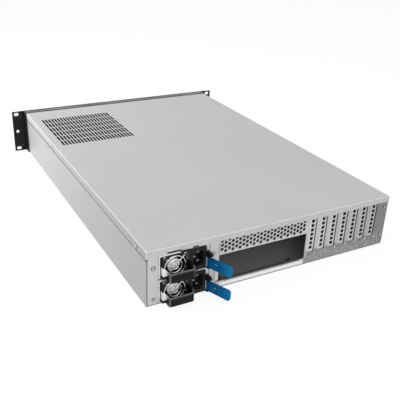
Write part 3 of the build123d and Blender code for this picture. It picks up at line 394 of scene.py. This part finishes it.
def lever_material():
    """Lever: blue plastic with painted highlights along its edges and toward its tip."""
    g = Graph("lever_blue")
    fine = g.noise(1800.0, 3.0)
    x, y, z = g.axes()
    tone = g.mottled(fine, (0.0005, 0.079, 0.258), (0.0008, 0.094, 0.300))
    # Painted highlight: paler toward the tip
    tone = g.mix(g.spread(y, 0.0, 0.75, 0.350, 0.364), tone, (0.003, 0.19, 0.48))
    # Painted highlight: paler along the rounded edges
    tone = g.faded(g.bend(), 0.85, tone, (0.015, 0.20, 0.42))
    return g.finish(tone, fine, 0.45, 0.05, fine, 0.00002, Specular_IOR_Level=0.02)


def panel_material():
    """Front panel: black paint, with painted highlights on its rounded edges and light streaks of painted
    highlight on its top return.
    """
    g = Graph("panel_black")
    fine = g.noise(1800.0, 3.0)
    tone = g.mottled(fine, (0.012, 0.012, 0.013), (0.016, 0.016, 0.018))
    # Painted highlight: paler on the rounded edges
    tone = g.faded(g.bend(), 0.5, tone, (0.1, 0.1, 0.1))
    x, y, z = g.axes()
    # Painted highlight: light streaks on the top return
    top = g.both(g.past(z, 0.0876, 0.0002), g.past(g.axes("normal")[2], 0.65, 0.15))
    band = g.within(y, -0.3215, -0.3145, 0.0015)
    streaks = g.noise(160.0, 4.0, (0.12, 1.0, 1.0), 0.6)
    light = g.both(top, band, g.spread(streaks, 0.25, 1.0, 0.4, 0.58))
    tone = g.mix(light, tone, (0.26, 0.26, 0.265))
    return g.finish(tone, fine, 0.45, 0.05, fine, 0.00003, Specular_IOR_Level=0.3)


case_steel = tray_material()
rear_steel = rear_material()
cover_paint = cover_material()
supply_steel = shell_material()
slot_steel = slot_material()
lever_blue = lever_material()
panel_black = panel_material()
zinc = galvanised("zinc_steel", (0.60, 0.61, 0.62), 0.38, 0.6)
olive_screw = painted("olive_screw", (0.035, 0.035, 0.026), 0.45, 0.3)

# Black finishes, each with a painted highlight along its rounded edges
black_paint = black_with_edge_highlight("black_paint", (0.011, 0.011, 0.012), 0.5, (0.08, 0.08, 0.08), 0.5, gloss=0.2)
handle_black = black_with_edge_highlight("handle_black", (0.007, 0.007, 0.008), 0.5, (0.18, 0.18, 0.185), 0.9, gloss=0.12)
inlet_black = black_with_edge_highlight("inlet_black", (0.012, 0.012, 0.013), 0.5, (0.11, 0.11, 0.11), gloss=0.18)
fan_black = black_with_edge_highlight("fan_black", (0.006, 0.006, 0.006), 0.4, (0.1, 0.1, 0.1), 0.6, gloss=0.25)
cage_black = black_with_edge_highlight("cage_black", (0.012, 0.012, 0.013), 0.75, (0.03, 0.03, 0.03), 0.3, gloss=0.05)

ALONG_X, ALONG_Y, ALONG_Z = 0, 1, 2
dull_screw = brushed("dull_screw", (0.42, 0.42, 0.43), 0.4, 0.5, ALONG_X, 900.0)
black_screw = brushed("black_screw", (0.05, 0.05, 0.055), 0.35, 0.6, ALONG_X, 900.0)
screw_steel = brushed("screw_steel", (0.62, 0.62, 0.62), 0.3, 0.9, ALONG_X, 900.0)
chrome_wire = brushed("chrome_wire", (0.8, 0.8, 0.81), 0.14, 1.0, ALONG_X, 1200.0, 0.03)
pin_steel = brushed("pin_steel", (0.30, 0.30, 0.30), 0.35, 0.9, ALONG_Y, 900.0)
brass = brushed("brass", (0.13, 0.11, 0.07), 0.5, 0.5, ALONG_Z, 900.0)
clip_steel = brushed("clip_steel", (0.93, 0.94, 0.93), 0.38, 0.15, ALONG_Z, 700.0, 0.05)

black_plastic = moulded("black_plastic", (0.018, 0.018, 0.019), 0.42)
rotor_white = moulded("rotor_white", (0.86, 0.9, 0.86), 0.3, vary=0.05)
rotor_black = moulded("rotor_black", (0.01, 0.01, 0.01), 0.35)
board_green = moulded("board_green", (0.02, 0.12, 0.05), 0.4)
filter_black = moulded("filter_black", (0.012, 0.012, 0.012), 0.8, 900.0, 0.3, 0.0002)
lamp_lens = moulded("lamp_lens", (0.55, 0.62, 0.55), 0.2, vary=0.03)

finishes = {
    "base_tray": case_steel, "rear_panel": rear_steel, "top_cover": cover_paint,
    "front_panel": panel_black, "ear_left": black_paint, "ear_right": black_paint,
    "psu_cage": zinc, "fan_wall": zinc, "drive_cage_left": cage_black, "drive_cage_right": cage_black,
    "slot_ledge": zinc, "standoffs": brass, "power_board": board_green,
    "power_sockets": black_plastic, "control_board": board_green, "usb_ports": chrome_wire,
    "status_lamps": lamp_lens, "power_button": black_plastic, "reset_button": black_plastic,
    "rear_panel_screws": screw_steel, "cover_screws": screw_steel, "ear_screws": screw_steel,
    "slot_screws": screw_steel,
}
for k in range(1, SLOT_COUNT + 1):
    finishes[f"slot_cover_{k}"] = slot_steel
for k in (1, 2, 3):
    finishes[f"fan_frame_{k}"] = fan_black
    finishes[f"fan_rotor_{k}"] = rotor_black
for k in (1, 2):
    finishes.update({
        f"psu_{k}_shell": supply_steel, f"psu_{k}_board": board_green, f"psu_{k}_fan_frame": fan_black,
        f"psu_{k}_fan_rotor": rotor_white, f"psu_{k}_fan_guard": chrome_wire,
        f"psu_{k}_fan_screws": olive_screw, f"psu_{k}_inlet": inlet_black,
        f"psu_{k}_inlet_pins": pin_steel, f"psu_{k}_handle": handle_black,
        f"psu_{k}_latch_block": black_plastic, f"psu_{k}_lever": lever_blue,
        f"psu_{k}_latch_arm": clip_steel,
    })
for name, node in nodes.items():
    finish = finishes[name]
    if not node.material_slots:
        node.data.materials.append(finish)
    for slot in node.material_slots:
        slot.material = finish


# Helpers for the scene's own pieces

def new_piece(name, form, finish, body):
    """Turn a bmesh in metres into a piece that rides on a body."""
    mesh = bpy.data.meshes.new(name)
    bmesh.ops.recalc_face_normals(form, faces=form.faces)
    form.to_mesh(mesh)
    form.free()
    mesh.shade_smooth()
    mesh.set_sharp_from_angle(angle=math.radians(40))
    made = bpy.data.objects.new(name, mesh)
    bpy.context.scene.collection.objects.link(made)
    mesh.materials.append(finish)
    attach(made, body)
    return made


def ring_of(form, centre, radius, side, other, count):
    """New points of a circle round a centre, in the plane of two directions."""
    turns = [2 * math.pi * k / count for k in range(count)]
    return [form.verts.new(centre + radius * (math.cos(t) * side + math.sin(t) * other)) for t in turns]


def tube(form, points, radius, closed=False, sides=10):
    """Round wire along points, given in metres."""
    points = [Vector(p) for p in points]
    count = len(points)
    rings = []
    side = None
    for i, point in enumerate(points):
        before = points[(i - 1) % count] if closed or i else point
        after = points[(i + 1) % count] if closed or i < count - 1 else point
        along = (after - before).normalized()
        if side is None:
            side = along.orthogonal().normalized()
        side = (side - along * side.dot(along)).normalized()
        rings.append(ring_of(form, point, radius, side, along.cross(side), sides))
    for a, b in zip(rings, rings[1:] + rings[:1] if closed else rings[1:]):
        for k in range(sides):
            form.faces.new((a[k], a[(k + 1) % sides], b[(k + 1) % sides], b[k]))
    if not closed:
        form.faces.new(rings[0][::-1])
        form.faces.new(rings[-1])


def circle_points(x, y, z, radius, count=48):
    """Points of a circle in the plane across the case."""
    turns = [2 * math.pi * k / count for k in range(count)]
    return [Vector((x + radius * math.cos(t), y, z + radius * math.sin(t))) for t in turns]


def revolve(form, profile, place, sides=32):
    """Form turned round a line to the rear: (radius, height) pairs in millimetres, from its foot up."""
    side = REARWARD.orthogonal().normalized()
    other = REARWARD.cross(side)
    rings = []
    for radius, height in profile:
        centre = Vector(place) + REARWARD * height * MM
        if radius == 0:
            rings.append([form.verts.new(centre)])
        else:
            rings.append(ring_of(form, centre, radius * MM, side, other, sides))
    for a, b in zip(rings, rings[1:]):
        for k in range(sides):
            quad = [a[k % len(a)], a[(k + 1) % len(a)], b[(k + 1) % len(b)], b[k % len(b)]]
            quad = [v for i, v in enumerate(quad) if v not in quad[:i]]
            if len(quad) > 2:
                form.faces.new(quad)


def closed_skin(form, front, back):
    """Faces on two grids of points, and along the four sides between them."""
    rows, columns = len(front) - 1, len(front[0]) - 1
    for i in range(rows):
        for j in range(columns):
            for skin in (front, back):
                form.faces.new((skin[i][j], skin[i][j + 1], skin[i + 1][j + 1], skin[i + 1][j]))
        for j in (0, columns):
            form.faces.new((front[i][j], front[i + 1][j], back[i + 1][j], back[i][j]))
    for j in range(columns):
        for i in (0, rows):
            form.faces.new((front[i][j], back[i][j], back[i][j + 1], front[i][j + 1]))


def round_edges(form, edges, width):
    """Round edges over by a width in millimetres."""
    bmesh.ops.bevel(form, geom=list(edges), offset=width * MM, offset_type="OFFSET", segments=2,
                    profile=0.5, affect="EDGES", clamp_overlap=True)


def bar(form, low, high, round_off=0.2):
    """Straight bar between two corners, given in metres, with its edges rounded off."""
    low, high = Vector(low), Vector(high)
    made = bmesh.ops.create_cube(form, size=1.0)["verts"]
    for vert in made:
        vert.co = (low + high) / 2 + Vector(vert.co[i] * (high[i] - low[i]) for i in range(3))
    round_edges(form, {edge for vert in made for edge in vert.link_edges}, round_off)


def softened(node, finish, body, width):
    """Copy of a solid with its sharp edges rounded over, which stands for the node."""
    form = bmesh.new()
    form.from_mesh(nodes[node].data)
    bmesh.ops.remove_doubles(form, verts=form.verts, dist=1e-6)
    bmesh.ops.dissolve_limit(form, angle_limit=math.radians(2), verts=form.verts, edges=form.edges)
    sharp = [e for e in form.edges if e.is_manifold and e.calc_face_angle(0.0) > math.radians(25)]
    round_edges(form, sharp, width)
    piece = new_piece(f"{node}_rounded", form, finish, body)
    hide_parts(node)


def solid_boxes(node):
    """Lowest and highest corner of each separate solid of a node, in metres."""
    form = bmesh.new()
    form.from_mesh(nodes[node].data)
    bmesh.ops.remove_doubles(form, verts=form.verts, dist=1e-6)
    left = set(form.verts)
    found = []
    while left:
        stack = [left.pop()]
        group = list(stack)
        while stack:
            for edge in stack.pop().link_edges:
                for vert in edge.verts:
                    if vert in left:
                        left.remove(vert)
                        stack.append(vert)
                        group.append(vert)
        low = Vector([min(v.co[i] for v in group) for i in range(3)])
        high = Vector([max(v.co[i] for v in group) for i in range(3)])
        found.append((low, high))
    form.free()
    return found


# Screws of the rear panel and the ears: pan heads with a rolled rim and a recess, on plain shanks
HEAD = 1.8
SHANK = 1.3


def head_seat(low, high):
    """Middle of the foot of a screw's head."""
    return Vector(((low.x + high.x) / 2, high.y - HEAD * MM, (low.z + high.z) / 2))


def replace_screws(node, finish):
    """Detailed screws in place of a node of screws."""
    form = bmesh.new()
    for low, high in solid_boxes(node):
        size = high - low
        radius = max(size.x, size.z) / 2 / MM
        seat = head_seat(low, high)
        revolve(form, [(0, 0), (radius, 0), (radius, HEAD * 0.45), (radius * 0.93, HEAD * 0.78),
                       (radius * 0.74, HEAD * 0.95), (radius * 0.5, HEAD), (radius * 0.46, HEAD),
                       (radius * 0.3, HEAD * 0.5), (0, HEAD * 0.42)], seat)
        length = size.y / MM - HEAD
        revolve(form, [(0, -length), (SHANK, -length), (SHANK, 0), (0, 0)], seat, 16)
    piece = new_piece(f"{node}_detailed", form, finish, "case")
    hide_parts(node)


replace_screws("rear_panel_screws", dull_screw)

# Black rims as painted shade where the rear screws bed into the panel
form = bmesh.new()
for low, high in solid_boxes("rear_panel_screws"):
    inner = (high.x - low.x) / 2 / MM + 0.05
    outer = inner + 0.45
    revolve(form, [(inner, -0.1), (outer, -0.1), (outer, 0.1), (inner, 0.16), (inner, -0.1)],
            head_seat(low, high))
bmesh.ops.remove_doubles(form, verts=form.verts, dist=1e-7)
new_piece("rear_screw_shade_rims", form, black_screw, "case")
replace_screws("ear_screws", black_screw)


# Wire guards of the supplies: round wire rings on two crossed bars, with an eye at each screw
WIRE = 0.7 * MM
RING_INSETS = (2.25, 7.6, 13.0)
SCREW_INSET = 2.75
EYE_RADIUS = 1.9
for k in (1, 2):
    low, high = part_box(f"psu_{k}_fan_guard")
    frame_low, frame_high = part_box(f"psu_{k}_fan_frame")
    centre_x = (frame_low.x + frame_high.x) / 2
    centre_z = (frame_low.z + frame_high.z) / 2
    wire_y = (low.y + high.y) / 2
    half = (frame_high.x - frame_low.x) / 2
    reach = half - SCREW_INSET * MM
    form = bmesh.new()
    for inset in RING_INSETS:
        tube(form, circle_points(centre_x, wire_y, centre_z, half - inset * MM - WIRE / 2), WIRE, closed=True)
    for sx, sz in ((1, 1), (1, -1), (-1, 1), (-1, -1)):
        has_screw = not (sx > 0 and sz < 0)
        start = Vector((centre_x + sx * 1.5 * MM, wire_y - WIRE, centre_z + sz * 1.5 * MM))
        stop = reach - 1.6 * MM if has_screw else (half - 2.6 * MM) * 0.71
        end = Vector((centre_x + sx * stop, wire_y - WIRE, centre_z + sz * stop))
        tube(form, [start, end], WIRE)
        if has_screw:
            eye = (centre_x + sx * reach, wire_y - WIRE * 0.4, centre_z + sz * reach)
            tube(form, circle_points(*eye, EYE_RADIUS * MM, 24), WIRE * 0.8, closed=True)
    guard = new_piece(f"psu_{k}_wire_guard", form, chrome_wire, f"psu_{k}")
    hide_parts(f"psu_{k}_fan_guard")


# Moulded and painted pieces whose edges catch the light
for k in (1, 2):
    softened(f"psu_{k}_handle", handle_black, f"psu_{k}", 0.35)
    softened(f"psu_{k}_inlet", inlet_black, f"psu_{k}", 0.35)
    softened(f"psu_{k}_latch_block", handle_black, f"psu_{k}", 0.3)
    softened(f"psu_{k}_lever", lever_blue, f"psu_{k}_latch", 0.35)
    softened(f"psu_{k}_fan_frame", fan_black, f"psu_{k}", 0.3)


# Supply fans: a pale motor hub with dark curved blades, set back behind the guard
BLADES = 7
BLADE_ROOT, BLADE_REACH = 9.4, 5.9
BLADE_HALF_THICK = 0.32
BLADE_ROWS, BLADE_COLUMNS = 8, 10
HUB_PROFILE = [(0, -17), (9.2, -17), (9.6, -16.5), (9.6, -0.9), (9.3, -0.3), (8.6, 0), (3.4, 0),
               (3.1, -0.3), (0, -0.3)]
for k in (1, 2):
    low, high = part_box(f"psu_{k}_fan_rotor")
    centre_x = (low.x + high.x) / 2
    centre_z = (low.z + high.z) / 2
    hub_face = high.y - 1.2 * MM
    form = bmesh.new()
    revolve(form, HUB_PROFILE, (centre_x, hub_face, centre_z), 64)
    hub = new_piece(f"psu_{k}_rotor_hub", form, rotor_white, f"psu_{k}_fan")
    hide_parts(f"psu_{k}_fan_rotor")
    form = bmesh.new()
    for b in range(BLADES):
        skins = []
        for sign in (1, -1):
            rows = []
            for i in range(BLADE_ROWS + 1):
                out = i / BLADE_ROWS
                radius = (BLADE_ROOT + BLADE_REACH * out) * MM
                row = []
                for j in range(BLADE_COLUMNS + 1):
                    t = j / BLADE_COLUMNS
                    turn = 2 * math.pi * b / BLADES + 0.62 * t - 0.28 * out ** 1.5
                    depth = (1.2 + 9.5 * t + 1.2 * math.sin(math.pi * t)) * MM
                    skin = sign * BLADE_HALF_THICK * MM * math.sqrt(max(0.0, 1 - (2 * t - 1) ** 4))
                    angle = turn + skin / radius
                    y = hub_face - 1.5 * MM - depth - skin
                    row.append(form.verts.new((centre_x + radius * math.cos(angle), y,
                                               centre_z + radius * math.sin(angle))))
                rows.append(row)
            skins.append(rows)
        closed_skin(form, *skins)
    bmesh.ops.remove_doubles(form, verts=form.verts, dist=1e-6)
    blades = new_piece(f"psu_{k}_rotor_blades", form, rotor_black, f"psu_{k}_fan")
    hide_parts(f"psu_{k}_fan_rotor")


# Bright clip at each guard's lower corner, folded round the side of the fan frame
CLIP_OUTLINE = ((0, 6.9), (0, 20.0), (0.9, 20.4), (2.6, 18.4), (8.3, 11.2), (9.5, 9.2), (9.7, 6.9))
for k in (1, 2):
    low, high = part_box(f"psu_{k}_fan_frame")
    floor_z = low.z - 0.7 * MM
    front, back = high.y + 1.5 * MM, high.y + 2.2 * MM
    form = bmesh.new()
    rings = [[form.verts.new((high.x - inward * MM, y, floor_z + up * MM)) for inward, up in CLIP_OUTLINE]
             for y in (front, back)]
    count = len(CLIP_OUTLINE)
    for i in range(count):
        form.faces.new((rings[0][i], rings[0][(i + 1) % count], rings[1][(i + 1) % count], rings[1][i]))
    form.faces.new(rings[0][::-1])
    form.faces.new(rings[1])
    bmesh.ops.recalc_face_normals(form, faces=form.faces)
    round_edges(form, [e for e in form.edges if e.calc_face_angle(0.0) > 0.5], 0.18)
    bar(form, (high.x, high.y - 4.6 * MM, floor_z + 7.2 * MM), (high.x + 0.7 * MM, back, floor_z + 19.6 * MM))
    new_piece(f"psu_{k}_guard_clip", form, clip_steel, f"psu_{k}")


# Sheet edges of each supply's face in pale steel, which paints their highlight, and the raised points beside
# its fan
DOME = [(0.95, 0), (0.9, 0.5), (0.62, 1.0), (0.3, 1.2), (0, 1.25)]
FACE_POINTS = [(193.45, z) for z in (34.3, 14.5, 10.4, 6.3, 2.3)] + [(153.2, z) for z in (24.2, 9.8, 5.6)]
for k in (1, 2):
    low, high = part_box(f"psu_{k}_shell")
    fan_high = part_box(f"psu_{k}_fan_frame")[1]
    inlet_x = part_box(f"psu_{k}_inlet")[0].x
    face = high.y
    floor_z = low.z
    form = bmesh.new()
    bar(form, (high.x - 1.9 * MM, face, floor_z + 0.7 * MM),
        (high.x - 0.2 * MM, face + 1.2 * MM, floor_z + 37.2 * MM))
    bar(form, (fan_high.x - 27.5 * MM, face + 0.2 * MM, fan_high.z + 0.05 * MM),
        (high.x - 0.6 * MM, fan_high.y - 0.6 * MM, fan_high.z + 0.6 * MM), 0.15)
    bar(form, (inlet_x - 1.5 * MM, face, floor_z + 0.1 * MM),
        (inlet_x + 12.4 * MM, face + 2.6 * MM, floor_z + 0.85 * MM), 0.15)
    bar(form, (inlet_x - 4.2 * MM, face, floor_z + 1.0 * MM),
        (inlet_x - 1.3 * MM, face + 0.5 * MM, floor_z + 9.5 * MM), 0.15)
    new_piece(f"psu_{k}_sheet_edge_highlights", form, clip_steel, f"psu_{k}")
    form = bmesh.new()
    for x, z in FACE_POINTS:
        revolve(form, DOME, (x * MM, face, floor_z + z * MM), 16)
    new_piece(f"psu_{k}_face_points", form, screw_steel, f"psu_{k}")


# Black strips as painted shade in the two notches above the supplies, each placed by its distance from the
# left and its width
NOTCHES = ((12.6, 21.0), (51.6, 9.0))
NOTCH_GAP = 0.2
form = bmesh.new()
shell_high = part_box("psu_2_shell")[1]
for from_left, width in NOTCHES:
    bar(form, (shell_high.x - (from_left + width - NOTCH_GAP) * MM, 0.32385, shell_high.z + 0.25 * MM),
        (shell_high.x - (from_left + NOTCH_GAP) * MM, 0.3260, shell_high.z + 2.45 * MM), 0.25)
new_piece("bay_notch_shade_strips", form, cage_black, "case")


# Pressed points at the foot of each slot
form = bmesh.new()
for i in range(SLOT_COUNT):
    place = (LAST_SLOT_X + i * SLOT_PITCH - 9.4 * MM, PANEL_FACE_Y, 0.0168)
    revolve(form, [(1.0, 0), (0.92, 0.25), (0.6, 0.5), (0, 0.6)], place, 16)
new_piece("rear_panel_points", form, screw_steel, "case")


# Dust filter behind the front panel: a thin foam sheet with a soft wave
FILTER_X, FILTER_WIDTH = -0.162, 0.324
FILTER_Z, FILTER_HEIGHT = 0.0055, 0.0765
FILTER_COLUMNS, FILTER_ROWS = 108, 27
panel_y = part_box("front_panel")[0].y
form = bmesh.new()
sheets = []
for side, depth in ((1, 5.4), (-1, 3.0)):
    sheet = []
    for j in range(FILTER_ROWS + 1):
        row = []
        for i in range(FILTER_COLUMNS + 1):
            wave = 0.55 * math.sin(2 * math.pi * i / 4 + 0.3) * math.sin(2 * math.pi * j / 4 + 0.2)
            row.append(form.verts.new((FILTER_X + FILTER_WIDTH * i / FILTER_COLUMNS,
                                       panel_y + (depth + side * wave) * MM,
                                       FILTER_Z + FILTER_HEIGHT * j / FILTER_ROWS)))
        sheet.append(row)
    sheets.append(sheet)
closed_skin(form, *sheets)
new_piece("front_dust_filter", form, filter_black, "case")


# Floor, light and camera
WORLD_LIGHT = 0.5
FLOOR_GLOW = 1.09
FLOOR_GLOW_SHARE = 0.8
FLOOR_GAP = 0.0005


def ray_switch(tree, strength):
    """The strength for what the camera, a gloss or a clear material sees, and 0 elsewhere."""
    path = tree.nodes.new("ShaderNodeLightPath")
    seen = path.outputs["Is Camera Ray"]
    for operation, other in (("MAXIMUM", path.outputs["Is Glossy Ray"]),
                             ("MAXIMUM", path.outputs["Is Transmission Ray"]), ("MULTIPLY", strength)):
        step = tree.nodes.new("ShaderNodeMath")
        step.operation = operation
        tree.links.new(seen, step.inputs[0])
        if isinstance(other, float):
            step.inputs[1].default_value = other
        else:
            tree.links.new(other, step.inputs[1])
        seen = step.outputs[0]
    return seen


world = bpy.data.worlds.new("studio")
bpy.context.scene.world = world
world.use_nodes = True
sky = world.node_tree.nodes["Background"]
sky.inputs["Color"].default_value = (1.0, 1.0, 1.0, 1.0)
total = world.node_tree.nodes.new("ShaderNodeMath")
total.operation = "ADD"
total.inputs[1].default_value = WORLD_LIGHT
world.node_tree.links.new(ray_switch(world.node_tree, 1.0 - WORLD_LIGHT), total.inputs[0])
world.node_tree.links.new(total.outputs[0], sky.inputs["Strength"])

floor_mesh = bpy.data.meshes.new("floor")
floor_form = bmesh.new()
bmesh.ops.create_grid(floor_form, x_segments=1, y_segments=1, size=12.0)
floor_form.to_mesh(floor_mesh)
floor_form.free()
floor = bpy.data.objects.new("floor", floor_mesh)
floor.location = (0, 0, cad_box[0].z - FLOOR_GAP)
bpy.context.scene.collection.objects.link(floor)

floor_graph = Graph("floor_white")
floor_grain = floor_graph.noise(30.0, 2.0)
floor_tone = floor_graph.mix(floor_grain, (0.86, 0.86, 0.86), (0.9, 0.9, 0.9))
floor_graph.link(floor_tone, floor_graph.shader.inputs["Base Color"])
floor_graph.link(floor_graph.spread(floor_grain, 0.85, 0.95), floor_graph.shader.inputs["Roughness"])
floor_graph.set(Specular_IOR_Level=0.1)
floor_tree = floor_graph.tree
glow = floor_tree.nodes.new("ShaderNodeEmission")
glow.inputs["Color"].default_value = (1.0, 1.0, 1.0, 1.0)
glow.inputs["Strength"].default_value = FLOOR_GLOW
blend = floor_tree.nodes.new("ShaderNodeMixShader")
floor_tree.links.new(ray_switch(floor_tree, FLOOR_GLOW_SHARE), blend.inputs[0])
floor_tree.links.new(floor_graph.shader.outputs[0], blend.inputs[1])
floor_tree.links.new(glow.outputs[0], blend.inputs[2])
floor_tree.links.new(blend.outputs[0], floor_tree.nodes["Material Output"].inputs["Surface"])
floor_mesh.materials.append(floor_graph.material)


def soft_box(name, place, target, size, power):
    """Rectangular area lamp at a place, aimed at a target."""
    lamp = bpy.data.lights.new(name, "AREA")
    lamp.shape = "RECTANGLE"
    lamp.size, lamp.size_y = size
    lamp.energy = power
    holder = bpy.data.objects.new(name, lamp)
    holder.location = place
    holder.rotation_mode = "QUATERNION"
    holder.rotation_quaternion = (Vector(target) - Vector(place)).to_track_quat("-Z", "Y")
    bpy.context.scene.collection.objects.link(holder)


soft_box("light_top", (0.1, 0.1, 1.9), (0, 0, 0), (2.2, 2.2), 9.8)
soft_box("light_side", (1.0, -0.95, 0.4), (0.21, -0.28, 0.04), (0.5, 0.5), 13.0)
soft_box("light_rear", (0.25, 1.45, 0.55), (0.12, 0.32, 0.04), (0.8, 0.7), 4.35)

# Camera without a shift, fitted to the corners of the case in the photo
PICTURE_PX = 400.0
LENS_PX = 610.66
CAMERA_PLACE = Vector((0.49222, 0.96186, 0.50126))
AZIMUTH, ELEVATION, ROLL = 150.82, 25.79, 2.37


def aim(azimuth, elevation, roll, place):
    """Camera matrix from its angles in degrees and its place."""
    a, e, r = (math.radians(v) for v in (azimuth, elevation, roll))
    back = Vector((math.sin(a) * math.cos(e), -math.cos(a) * math.cos(e), math.sin(e)))
    right = Vector((0, 0, 1)).cross(back).normalized()
    up = back.cross(right)
    turned_right = math.cos(r) * right + math.sin(r) * up
    turned_up = math.cos(r) * up - math.sin(r) * right
    turn = Matrix((turned_right, turned_up, back)).transposed().to_4x4()
    return Matrix.Translation(place) @ turn


camera_data = bpy.data.cameras.new("camera")
camera_data.sensor_width = 36.0
camera_data.lens = LENS_PX * camera_data.sensor_width / PICTURE_PX
camera_data.clip_start = 0.05
camera_data.clip_end = 60.0
camera = bpy.data.objects.new("camera", camera_data)
bpy.context.scene.collection.objects.link(camera)
bpy.context.scene.camera = camera
camera.matrix_world = aim(AZIMUTH, ELEVATION, ROLL, CAMERA_PLACE)

bpy.context.scene.view_settings.view_transform = "Standard"
